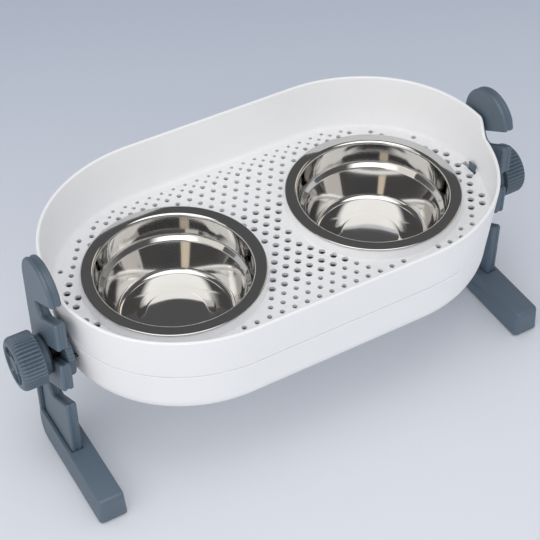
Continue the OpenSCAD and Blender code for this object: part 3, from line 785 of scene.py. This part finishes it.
def laid_outside(line, thick):
    """The same line moved outwards by the sheet thickness."""
    moved = []
    for i, (r, h) in enumerate(line):
        before, after = line[max(i - 1, 0)], line[min(i + 1, len(line) - 1)]
        dr, dh = after[0] - before[0], after[1] - before[1]
        length = math.hypot(dr, dh)
        moved.append((max(AXIS_R, r - thick * dh / length), h + thick * dr / length))
    return moved


def bowl_mesh(sign, finish):
    inner = bowl_line()
    outer = laid_outside(inner, BOWL_T)
    roll = arc((RIM_R - ROLL_R, -ROLL_R), ROLL_R, -70, 90, 8)
    profile = outer[::-1][:-1] + roll[:-1] + inner
    points, faces = turned(profile, BOWL_STEPS, lambda a, b, h: (sign * BOWL_X + a, b, RIM_Z + h))
    count = len(profile)
    for row in (0, count - 1):
        faces.append(tuple(row + count * i for i in range(BOWL_STEPS)))
    return finished(mesh_of("bowl", points, faces), finish)


for side, sign in SIDES.items():
    piece(f"steel_bowl_{side}", bowl_mesh(sign, finishes[f"steel_{side}"]), f"bowl_{side}")

# %% [markdown]
# The legs are thick moulded plates with three hook notches. A Bevel modifier stumbles over the short
# facets in the notches, so the outline is walked once round, every corner gets its round, and the plate
# is laid up from that outline moved inwards in small steps, which rounds both rims. A sunk band half way
# through the thickness shows where the two halves of the mould met.

# %% Legs
LEG_X, LEG_T, LEG_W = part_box("leg_right")[0].x / MM, 10.0, 62.0
NOTCH_R, NOTCH_ROOM = 6.3, 8.5
NOTCH_A = math.radians(149)
NOTCH_HEIGHTS = (PIVOT_Z - 48, PIVOT_Z, PIVOT_Z + 48)
LEG_FRONT, LEG_BACK = PIVOT_Y - LEG_W / 2, PIVOT_Y + LEG_W / 2
LEG_TOP = NOTCH_HEIGHTS[2] + 51.5
SPINE_T, SPINE_Z, MORTISE_Z, MORTISE_GAP = 4.0, 100.0, 8.0, 0.4
LEG_ROUND, RIM_STEPS, SIDE_INSET, BAND_W, BAND_DEPTH = 2.0, 5, 2.5, 2.2, 0.75
END_CORNER, LIP_CORNER, CATCH_CORNER, SPINE_CORNER = 2.4, 3.0, 3.5, 1.0
CORNER_STEPS, NOTCH_STEPS, HEAD_STEPS = 6, 8, 40
HEAD_REACH, HEAD_START = 2.0, 12.0
LEAST_LOOP, LEAST_SHARE, CLEAR_SHARE = 0.8, 0.35, 0.97


def rounded(corners):
    """Outline from (y, z, radius) corners; a radius of 0 keeps the point."""
    outline = []
    for i, (y, z, radius) in enumerate(corners):
        here = Vector((y, z))
        if radius == 0:
            outline.append(here)
            continue
        back = (Vector(corners[i - 1][:2]) - here).normalized()
        ahead = (Vector(corners[(i + 1) % len(corners)][:2]) - here).normalized()
        half = math.acos(max(-1.0, min(1.0, back.dot(ahead)))) / 2
        reach = radius / math.tan(half)
        centre = here + (back + ahead).normalized() * (radius / math.sin(half))
        first, last = here + back * reach - centre, here + ahead * reach - centre
        turn = math.atan2(first.x * last.y - first.y * last.x, first.dot(last))
        for step in range(CORNER_STEPS + 1):
            outline.append(centre + Matrix.Rotation(turn * step / CORNER_STEPS, 2) @ first)
    return outline


def notch_point(z, inwards, upwards):
    """A point from its steps along and square to the slant of the notch at height z."""
    a, b = math.cos(NOTCH_A), math.sin(NOTCH_A)
    return (PIVOT_Y + inwards * a - upwards * b, z + inwards * b + upwards * a)


def leg_outline():
    round_z = LEG_TOP - LEG_W / 2
    low_back, step_z = LEG_BACK - SPINE_T - MORTISE_GAP, SPINE_Z + MORTISE_GAP
    corners = [(LEG_FRONT, MORTISE_Z, END_CORNER)]
    for z in NOTCH_HEIGHTS:
        into = (LEG_FRONT - PIVOT_Y + NOTCH_R * math.sin(NOTCH_A)) / math.cos(NOTCH_A)
        corners.append((*notch_point(z, into, NOTCH_R), LIP_CORNER))
        for point in arc((0, 0), NOTCH_R, 90, 180, NOTCH_STEPS):
            corners.append((*notch_point(z, *point), 0))
        corners.append((*notch_point(z, -NOTCH_R, -NOTCH_ROOM), CATCH_CORNER))
        out = (LEG_FRONT - PIVOT_Y - NOTCH_ROOM * math.sin(NOTCH_A)) / math.cos(NOTCH_A)
        if z == NOTCH_HEIGHTS[2]:
            out -= HEAD_REACH
        corners.append((*notch_point(z, out, -NOTCH_ROOM), LIP_CORNER))
    start = math.degrees(math.acos(max(-1, (corners[-1][0] - PIVOT_Y) / (LEG_W / 2))))
    head = arc((PIVOT_Y, round_z), LEG_W / 2, start - HEAD_START, 0, HEAD_STEPS)
    corners += [(y, z, 0) for y, z in head]
    corners += [(LEG_BACK, step_z, END_CORNER), (low_back, step_z, SPINE_CORNER)]
    return rounded(corners + [(low_back, MORTISE_Z, END_CORNER)])


def inward_sign(outline):
    """1 for an outline that runs clockwise and -1 for one that runs the other way."""
    area = sum(a.x * b.y - b.x * a.y for a, b in zip(outline, outline[1:] + outline[:1]))
    return 1.0 if area < 0 else -1.0


def moved_in(outline, depth):
    """The outline moved inwards along its own normals, without loops at tight corners."""
    count, moved = len(outline), []
    step = depth * inward_sign(outline)
    for i, point in enumerate(outline):
        before = (point - outline[i - 1]).normalized()
        after = (outline[(i + 1) % count] - point).normalized()
        normal = Vector((-before.y - after.y, before.x + after.x))
        share = max(LEAST_SHARE, normal.length_squared / 4)
        moved.append(point - normal.normalized() * step / math.sqrt(share))
    if depth < LEAST_LOOP:
        return moved
    clear = [all((point - other).length > depth * CLEAR_SHARE for other in outline) for point in moved]
    kept = [i for i in range(count) if clear[i]]
    return [moved[min(kept, key=lambda k: min(abs(k - i), count - abs(k - i)))] for i in range(count)]


def leg_mesh(outline, x0, x1):
    """A plate along X with rounded rims and a sunk band round its middle."""
    levels = [(x0, SIDE_INSET)]
    levels += [(x0 + r, -d) for r, d in arc((LEG_ROUND, -LEG_ROUND), LEG_ROUND, 180, 90, RIM_STEPS)]
    band = (x0 + x1 - BAND_W) / 2
    levels += [(band - BAND_DEPTH, 0.0), (band, BAND_DEPTH)]
    levels += [(x0 + x1 - x, depth) for x, depth in reversed(levels)]
    points, count, rows = [], len(outline), len(levels)
    for x, depth in levels:
        points += [(x, p.x, p.y) for p in moved_in(outline, depth)]
    faces = grid_faces(rows, count, False, True)
    faces += [tuple(range(count)), tuple(range((rows - 1) * count, rows * count))]
    return finished(mesh_of("leg", points, faces), finishes["grey_plastic"])


outline = leg_outline()
for side, sign in SIDES.items():
    ends = sorted((sign * LEG_X, sign * (LEG_X + LEG_T)))
    piece(f"notched_leg_{side}", leg_mesh(outline, *ends), f"leg_{side}")

# %% [markdown]
# Each foot is an L with a long toe, sides that flare to the ground and a thin spine behind the leg. Its
# edges get bevels of their own width: wide on the nose, slim on the top and on the spine. Named corners
# and a bevel weight on every edge are the shortest way to that. Then the slot for the leg, a step round
# the slot's mouth, the pad pockets and the screw holes are cut out.

# %% Feet
foot_low, foot_high = (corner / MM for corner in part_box("foot_right"))
FOOT_FLARE, FOOT_H, HEEL_R, NOSE_R = 2.0, 27.4, 20.0, 4.5
FOOT_IN, FOOT_OUT = foot_low.x + FOOT_FLARE, foot_high.x - FOOT_FLARE
SPINE_Y, SLOT_FRONT, SLOT_LIP, BEYOND = foot_high.y - SPINE_T, LEG_FRONT - MORTISE_GAP, 0.5, 9.0
FLOOR_SHARE, EDGE_SHARE, SHARP_DEG = 0.45, 0.28, 30
PAD_Y, PAD_R, PAD_TOP = (-87.5, -52.0, 5.0), 7.6, 2.5
SCREW_Y, SCREW_R, HEAD_R, HEAD_TOP = (-26.67, -11.17), 2.3, 3.8, 4.0


def foot_block():
    """The L before its edges are eased, as a bmesh with a bevel share on every edge."""
    low, high, back, front = foot_low.z, foot_high.z, foot_high.y, foot_low.y
    slim = LEG_X - MORTISE_GAP
    work = bmesh.new()
    corners = {
        "toe_in": (foot_low.x, front, low), "toe_out": (foot_high.x, front, low),
        "heel_out": (foot_high.x, back, low), "heel_in": (foot_low.x, back, low),
        "nose_in": (FOOT_IN, front, FOOT_H), "nose_out": (FOOT_OUT, front, FOOT_H),
        "root_out": (FOOT_OUT, SPINE_Y, FOOT_H), "root_in": (slim, SPINE_Y, FOOT_H),
        "rear_in": (slim, back, FOOT_H), "rear_out": (FOOT_OUT, back, FOOT_H),
        "edge_in": (FOOT_IN, back, FOOT_H),
        "tip_in": (slim, SPINE_Y, high), "tip_out": (FOOT_OUT, SPINE_Y, high),
        "crest_in": (slim, back, high), "crest_out": (FOOT_OUT, back, high)}
    corner = {name: work.verts.new(place) for name, place in corners.items()}
    for names in ("toe_in heel_in heel_out toe_out", "toe_in toe_out nose_out nose_in",
                  "toe_in nose_in edge_in heel_in", "toe_out heel_out rear_out root_out nose_out",
                  "root_out rear_out crest_out tip_out", "nose_in nose_out root_out root_in rear_in edge_in",
                  "heel_in edge_in rear_in crest_in crest_out rear_out heel_out",
                  "root_in root_out tip_out tip_in", "root_in tip_in crest_in rear_in",
                  "tip_in tip_out crest_out crest_in"):
        work.faces.new([corner[name] for name in names.split()])
    bmesh.ops.recalc_face_normals(work, faces=work.faces)
    heel = work.edges.get((corner["heel_in"], corner["heel_out"]))
    bmesh.ops.bevel(work, geom=[heel], offset=HEEL_R, segments=12, profile=0.5, affect="EDGES")
    share = work.edges.layers.float.new("bevel_weight_edge")
    for edge in work.edges:
        if edge.calc_face_angle_signed() < math.radians(SHARP_DEG):
            edge[share] = 0.0
        elif max(vertex.co.z for vertex in edge.verts) < low + 1:
            edge[share] = FLOOR_SHARE
        else:
            at_nose = max(vertex.co.y for vertex in edge.verts) < front + 1
            edge[share] = 1.0 if at_nose else EDGE_SHARE
    return work


def post(work, x, y, z0, z1, radius):
    """Adds an upright round bar, as a cutter."""
    bmesh.ops.create_cone(work, cap_ends=True, segments=40, radius1=radius, radius2=radius, depth=z1 - z0,
                          matrix=Matrix.Translation((x, y, (z0 + z1) / 2)))


def foot_mesh(sign):
    mesh = mesh_from(foot_block(), "foot")
    mesh = with_modifier(mesh, "BEVEL", width=NOSE_R, segments=5, limit_method="WEIGHT",
                         use_clamp_overlap=False)
    slot_in, slot_out, slot_back = LEG_X - MORTISE_GAP, LEG_X + LEG_T + MORTISE_GAP, SPINE_Y - 0.02
    slot, mouth, bores, heads = (bmesh.new() for cut in range(4))
    block(slot, (slot_in, SLOT_FRONT, MORTISE_Z), (slot_out, slot_back, foot_high.z + BEYOND))
    block(mouth, (slot_in - SLOT_LIP, SLOT_FRONT - SLOT_LIP, FOOT_H - SLOT_LIP),
          (slot_out + SLOT_LIP, slot_back, FOOT_H + BEYOND))
    for y in SCREW_Y:
        post(bores, LEG_X + LEG_T / 2, y, -BEYOND, MORTISE_Z + 1, SCREW_R)
        post(heads, LEG_X + LEG_T / 2, y, -BEYOND, HEAD_TOP, HEAD_R)
    for y in PAD_Y:
        post(heads, (FOOT_IN + FOOT_OUT) / 2, y, -BEYOND, PAD_TOP, PAD_R)
    for cutter in (slot, mouth, bores, heads):
        mesh = without(mesh, mesh_from(cutter, "cutter"))
    if sign < 0:
        mesh.transform(Matrix.Diagonal((-1, 1, 1, 1)))
    return finished(mesh, finishes["grey_plastic"])


for side, sign in SIDES.items():
    piece(f"toe_foot_{side}", foot_mesh(sign), f"foot_{side}")

# %% [markdown]
# Brackets, washers and pads have the right shape in the CAD model already; they only lack eased edges,
# so there is no need to draw them again. A merged copy of each solid has its flat facets joined and its
# sharp edges bevelled.

# %% Softened copies of CAD solids
def softened(node, width, finish):
    work = bmesh.new()
    work.from_mesh(frame["nodes"][node].data)
    bmesh.ops.remove_doubles(work, verts=work.verts, dist=2e-6)
    bmesh.ops.dissolve_limit(work, angle_limit=math.radians(1.0), verts=work.verts, edges=work.edges)
    mesh = mesh_from(work, node)
    mesh = with_modifier(mesh, "BEVEL", width=width * MM, segments=3, limit_method="ANGLE",
                         angle_limit=math.radians(35), use_clamp_overlap=True)
    return finished(mesh, finish, 1.0)


for side in SIDES:
    for node, width, finish in (("bracket", 0.5, "grey_plastic"), ("washer", 0.3, "dark_steel"),
                                ("foot_pads", 0.5, "rubber")):
        piece(f"soft_{node}_{side}", softened(f"{node}_{side}", width, finishes[finish]), f"{node}_{side}")

# %% [markdown]
# Knobs, pivot discs and studs are turned parts with a wave on their skin: axial grip ribs on the first
# two, a screw thread on the third. Ribs could be bars set round the knob, but a wave on the skin keeps
# both one moulding, and one Geometry Nodes tree then makes all of them. It reads each point's angle about
# the pivot line and its place along it, and moves the point in where the wave has a groove.

# %% Grip ribs and threads
WAVE = {"Ribs": 42.0, "Turns": 0.0, "Depth": 0.0007, "Start": 0.0, "End": 1.0, "Fade": 0.001, "Core": 0.0}
GROOVE_POWER, STEPS_PER_RIB = 2.2, 8


def wave_tree(finish):
    tree, size = tree_with("skin_wave", WAVE)
    start = size["Geometry"]
    place = start.node("GeometryNodeInputPosition")
    axes = tree.nodes.new("ShaderNodeSeparateXYZ")
    plug(tree, axes.inputs[0], place)
    x, y, z = (Value(tree, socket) for socket in axes.outputs)
    y, z = y - PIVOT_Y * MM, z - PIVOT_Z * MM
    angle = z.math("ARCTAN2", y)
    wave = (angle * size["Ribs"] + abs(x) * size["Turns"] * (2 * math.pi)).math("COSINE")
    groove = (wave * -0.5 + 0.5).math("POWER", GROOVE_POWER)
    radius = across(y, z)
    depth = groove * size["Depth"]
    for room in (abs(x) - size["Start"], size["End"] - abs(x), radius - size["Core"]):
        depth = depth * start.node("ShaderNodeClamp", Value=room / size["Fade"])
    shift = start.node("ShaderNodeCombineXYZ", i1=y / radius * depth * -1, i2=z / radius * depth * -1)
    made = start.node("GeometryNodeSetPosition", Geometry=start, Offset=shift)
    end_tree(tree, made, finish)
    return tree


wave_trees = {name: wave_tree(finishes[name]) for name in ("grey_plastic", "dark_steel")}
print("skin waves", sorted(wave_trees))


def turned_piece(profile, steps, sign, finish, **wave):
    """A part turned about the pivot line, h measured along it from the middle of the tray."""
    points, faces = turned(profile, steps, lambda a, b, h: (sign * h, PIVOT_Y + a, PIVOT_Z + b))
    count = len(profile)
    if profile[0][0] > AXIS_R:
        faces = grid_faces(steps, count, True, True)
    for row in (0, count - 1):
        if profile[row][0] == AXIS_R:
            faces.append(tuple(row + count * i for i in range(steps)))
    mesh = finished(mesh_of("turned", points, faces), finishes[finish])
    return finished(run_tree(mesh, wave_trees[finish], {**WAVE, **wave}), finishes[finish], 1.0)


def along(start, end, radius, steps):
    return [(radius, start + (end - start) * i / steps) for i in range(steps + 1)]


# %% [markdown]
# The knobs are turned bodies with a collar towards the leg and a hollow face with a hub and six spokes.
# The ribs are cut deep enough to grip with wet hands. Eight points round the knob go to each rib, so
# that every groove has the same section.

# %% Knobs
KNOB_X, KNOB_L, KNOB_R, KNOB_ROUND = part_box("knob_right")[0].x / MM, 27.8, 24.0, 5.0
COLLAR_R, COLLAR_L = 17.5, 6.0
POCKET_R, POCKET_DEPTH, FACE_HUB_R, SPOKES, SPOKE_T, SPOKE_DROP = 17.0, 5.5, 8.0, 6, 2.0, 1.0
KNOB_RIBS, KNOB_RIB_DEPTH, KNOB_RIB_IN, SPOKE_BEVEL = 42, 1.5, 19.4, 0.35
KNOB_BORE, EASE, SKIRT_R, HUB_ROUND, HUB_DROP, DIMPLE_R = 6.05, 0.6, 1.2, 0.8, 0.5, 5.6


def knob_profile():
    """From the bore, round the collar and the grip, over the pocket to the middle of the face."""
    x, face = KNOB_X, KNOB_X + KNOB_L
    pocket, hub = face - POCKET_DEPTH, face - HUB_DROP
    line = [(KNOB_BORE, x + 0.3), (KNOB_BORE + 0.35, x), (COLLAR_R - EASE, x)]
    line += arc((COLLAR_R - EASE, x + EASE), EASE, -90, 0, 3)
    line += [(COLLAR_R + 0.3, x + COLLAR_L * 0.5), (COLLAR_R + 1.2, x + COLLAR_L * 0.8)]
    line += [(KNOB_R - 2, x + COLLAR_L - 0.2)]
    line += arc((KNOB_R - SKIRT_R, x + COLLAR_L + 1.0), SKIRT_R, -70, 0, 4)
    line += along(x + COLLAR_L + 2, face - KNOB_ROUND - 0.5, KNOB_R, 8)
    line += arc((KNOB_R - KNOB_ROUND, face - KNOB_ROUND), KNOB_ROUND, 0, 90, 8)
    line += arc((POCKET_R + EASE, face - EASE), EASE, 90, 180, 3)
    line += [(POCKET_R, pocket + 0.5), (POCKET_R - 0.5, pocket)]
    line += [(FACE_HUB_R + 0.5, pocket), (FACE_HUB_R, pocket + 0.5)]
    line += arc((FACE_HUB_R - HUB_ROUND, hub - HUB_ROUND), HUB_ROUND, 0, 90, 3)
    return line + [(DIMPLE_R + EASE, hub), (DIMPLE_R, hub - EASE), (AXIS_R, hub - EASE)]


def spokes_mesh(sign):
    """Six thin walls between hub and rim, as one mesh."""
    work = bmesh.new()
    face = KNOB_X + KNOB_L
    for i in range(SPOKES):
        angle = 2 * math.pi * i / SPOKES
        one = bmesh.ops.create_cube(work, size=1)["verts"]
        size = Matrix.Diagonal((POCKET_DEPTH - SPOKE_DROP, POCKET_R - FACE_HUB_R + 1, SPOKE_T, 1))
        depth = face - (POCKET_DEPTH + SPOKE_DROP) / 2
        middle = Matrix.Translation((sign * depth, (POCKET_R + FACE_HUB_R) / 2, 0))
        swing = Matrix.Translation((0, PIVOT_Y, PIVOT_Z)) @ Matrix.Rotation(angle, 4, "X")
        bmesh.ops.transform(work, matrix=swing @ middle @ size, verts=one)
    mesh = mesh_from(work, "spokes")
    mesh = with_modifier(mesh, "BEVEL", width=SPOKE_BEVEL, segments=2, limit_method="ANGLE")
    return finished(mesh, finishes["grey_plastic"])


def joined(name, *meshes):
    """Several meshes with one material as one."""
    work = bmesh.new()
    for mesh in meshes:
        work.from_mesh(mesh)
    mesh = mesh_from(work, name)
    mesh.materials.append(meshes[0].materials[0])
    mesh.shade_smooth()
    mesh.set_sharp_from_angle(angle=SMOOTH_ANGLE)
    return mesh


for side, sign in SIDES.items():
    body = turned_piece(knob_profile(), KNOB_RIBS * STEPS_PER_RIB, sign, "grey_plastic",
                        Ribs=float(KNOB_RIBS), Depth=KNOB_RIB_DEPTH * MM, Fade=1.2 * MM,
                        Start=(KNOB_X + COLLAR_L) * MM, End=(KNOB_X + KNOB_L - 0.6) * MM,
                        Core=KNOB_RIB_IN * MM)
    piece(f"clamp_knob_{side}", joined("knob", body, spokes_mesh(sign)), f"knob_{side}")

# %% [markdown]
# A pivot disc sits between tray and leg on each side: a flat ribbed washer in one piece with the hub
# that reaches through the basin's wall. Its ribs are finer and shallower than the knob's.

# %% Pivot discs
disc_low, disc_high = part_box("pivot_disc_right")
DISC_T, DISC_OUT_R, DISC_ROUND, DISC_BORE, STANDOFF_R, STANDOFF_H = 6.4, 25.5, 1.0, 6.3, 20.0, 0.6
DISC_X, HUB_IN = disc_high.x / MM - DISC_T, disc_low.x / MM
DISC_RIBS, DISC_RIB_DEPTH, DISC_RIB_IN = 50, 0.6, 23.5


def disc_profile():
    """From the bore at the hub's inner end, round the hub and the washer, to the bore outside."""
    out, shoulder, round_r = DISC_X + DISC_T, DISC_X - STANDOFF_H, DISC_OUT_R - DISC_ROUND
    line = [(DISC_BORE, HUB_IN), (HUB_R - 0.5, HUB_IN), (HUB_R, HUB_IN + 0.5), (HUB_R, shoulder)]
    line += [(STANDOFF_R, shoulder), (STANDOFF_R, DISC_X), (round_r, DISC_X)]
    line += arc((round_r, DISC_X + DISC_ROUND), DISC_ROUND, -90, 0, 4)
    line += along(DISC_X + 1.5, out - 1.5, DISC_OUT_R, 4)
    line += arc((round_r, out - DISC_ROUND), DISC_ROUND, 0, 90, 4)
    return line + [(DISC_BORE + 0.5, out), (DISC_BORE, out - 0.5)]


for side, sign in SIDES.items():
    disc = turned_piece(disc_profile(), DISC_RIBS * STEPS_PER_RIB, sign, "grey_plastic",
                        Ribs=float(DISC_RIBS), Depth=DISC_RIB_DEPTH * MM, Fade=0.8 * MM,
                        Start=DISC_X * MM, End=(DISC_X + DISC_T) * MM,
                        Core=DISC_RIB_IN * MM)
    piece(f"ribbed_disc_{side}", disc, f"pivot_disc_{side}")

# %% [markdown]
# The studs show in the notches between disc and knob. One rib that winds once round for each pitch is a
# screw thread, so the tree that made the ribs cuts it too.

# %% Studs
stud_low, stud_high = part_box("stud_right")
STUD_R, THREAD_PITCH, THREAD_DEPTH, THREAD_IN = 6.0, 2.0, 0.75, 4.5
STUD_STEPS, STEPS_PER_TURN = 40, 10


def stud_profile():
    start, end = stud_low.x / MM, stud_high.x / MM
    steps = round((end - start - 2) / THREAD_PITCH * STEPS_PER_TURN)
    line = [(AXIS_R, start), (STUD_R - 1, start)]
    line += along(start + 1, end - 1, STUD_R, steps)
    return line + [(STUD_R - 1, end), (AXIS_R, end)]


for side, sign in SIDES.items():
    stud = turned_piece(stud_profile(), STUD_STEPS, sign, "dark_steel", Ribs=1.0,
                        Turns=1 / (THREAD_PITCH * MM), Depth=THREAD_DEPTH * MM, Fade=1.5 * MM,
                        Start=stud_low.x, End=stud_high.x, Core=THREAD_IN * MM)
    piece(f"clamp_stud_{side}", stud, f"stud_{side}")

# %% [markdown]
# What stays from the CAD model, the inserts and the screws, only gets its finish.

# %% Finishes for carried-over nodes
for node, thing in frame["nodes"].items():
    if not thing.hide_render:
        thing.data.materials.clear()
        thing.data.materials.append(finishes[slot_of[node]])
        print("finish on", node, slot_of[node])

# %% [markdown]
# The stage is a pale floor under a soft sky, brighter towards the horizon. The floor's colour turns darker
# and bluer towards the back and the right: that is painted shade, standing in for the fall-off of the light.
# One large warm panel stands behind the camera, one hangs overhead and a third, warmer, stands on the left.
# What polished steel mirrors is darker than the sky that lights the plastic, because a studio is dark between
# its panels; that gives the rims their charcoal. The camera itself sees a plain blue-grey sky.

# %% Stage
FLOOR_REACH, SHADE_LEAN, SHADE_START, SHADE_END = 6.0, 0.42, -0.2, 1.0


def stage_floor():
    finish = Finish("studio_floor", Roughness=0.7)
    cloud = finish.noise(1.2, 2)
    # Painted shade: the floor's colour turns to the darker far colour towards the back and the right, in
    # place of the light's fall-off
    painted_shade_far = (finish.y + finish.x * SHADE_LEAN).rising(SHADE_START, SHADE_END)
    near = finish.between(cloud, (0.70, 0.725, 0.775), (0.715, 0.74, 0.79))
    material = finish.feed(Base_Color=finish.between(painted_shade_far, near, (0.405, 0.458, 0.565)))
    corners = [(x * FLOOR_REACH, y * FLOOR_REACH, 0) for x, y in ((-1, -1), (1, -1), (1, 1), (-1, 1))]
    mesh = mesh_of("studio_floor", corners, [(0, 1, 2, 3)])
    mesh.materials.append(material)
    linked("studio_floor", mesh)


def area_light(name, place, aim, size, power, colour, mirrored):
    data = bpy.data.lights.new(name, "AREA")
    data.shape = "RECTANGLE"
    data.size, data.size_y = size
    data.energy = power
    data.color = colour
    lamp = linked(name, data)
    lamp.location = place
    lamp.rotation_euler = (Vector(aim) - Vector(place)).to_track_quat("-Z", "Y").to_euler()
    lamp.visible_glossy = mirrored


SKY_HORIZON, SKY_PALE, SKY_SEEN = (1.035, 1.055, 1.095), (0.64, 0.655, 0.685), (0.29, 0.34, 0.43)
MIRRORED_LOW, MIRRORED_HIGH = (0.34, 0.335, 0.33), (0.12, 0.118, 0.115)
LOW_EDGE, HIGH_EDGE = math.sin(math.radians(16)), math.sin(math.radians(34))
# Each patch: turn from where the camera looks, height, edge and core in degrees, then the colour
PATCHES = (((0.0, 43.7), (50, 22), (0.11, 0.11, 0.113)),
           ((-30.0, 40.0), (11, 8), (1.25, 1.08, 0.84)),
           ((180.0, 72.0), (36, 28), (1.85, 1.83, 1.77)))


def sky():
    """Pale for the soft light; what metal mirrors is darker, with a dark, a warm and a bright patch."""
    world = bpy.data.worlds.new("studio_sky")
    bpy.context.scene.world = world
    world.use_nodes = True
    tree = world.node_tree
    away = CAMERA_AIM - CAMERA_PLACE
    start = Value(tree, None)
    direction = start.node("ShaderNodeTexCoord", output="Generated")
    height = start.node("ShaderNodeSeparateXYZ", output="Z", Vector=direction)
    mirrored = between(tree, height.rising(LOW_EDGE, HIGH_EDGE), MIRRORED_LOW, MIRRORED_HIGH)
    for (turn, tilt), (edge, core), colour in PATCHES:
        heading = math.atan2(away.y, away.x) + math.radians(turn)
        flat, tall = math.cos(math.radians(tilt)), math.sin(math.radians(tilt))
        centre = (flat * math.cos(heading), flat * math.sin(heading), tall)
        facing = start.node("ShaderNodeVectorMath", {"operation": "DOT_PRODUCT"}, output="Value",
                            i0=direction, i1=centre)
        reach = facing.rising(math.cos(math.radians(edge)), math.cos(math.radians(core)))
        mirrored = between(tree, reach, mirrored, colour)
    soft = between(tree, height.rising(0.0, HIGH_EDGE), SKY_HORIZON, SKY_PALE)
    by_mirror = start.node("ShaderNodeLightPath", output="Is Glossy Ray")
    by_camera = start.node("ShaderNodeLightPath", output="Is Camera Ray")
    seen = between(tree, by_camera, between(tree, by_mirror, soft, mirrored), SKY_SEEN)
    plug(tree, tree.nodes["Background"].inputs[0], seen)


stage_floor()
sky()
area_light("camera_panel", place=(-0.55, -1.7, 1.4), aim=(0, 0, 0.12), size=(2.4, 1.8), power=10.0,
           colour=(1.0, 0.985, 0.955), mirrored=False)
area_light("top_panel", place=(-0.25, -0.35, 2.0), aim=(0, 0, 0.15), size=(1.1, 0.9), power=6.2,
           colour=(1.0, 1.0, 1.0), mirrored=False)
area_light("left_panel", place=(-1.8, -0.45, 1.15), aim=(0, 0, 0.12), size=(1.9, 1.6), power=8.6,
           colour=(1.0, 0.96, 0.88), mirrored=True)
print("stage ready")
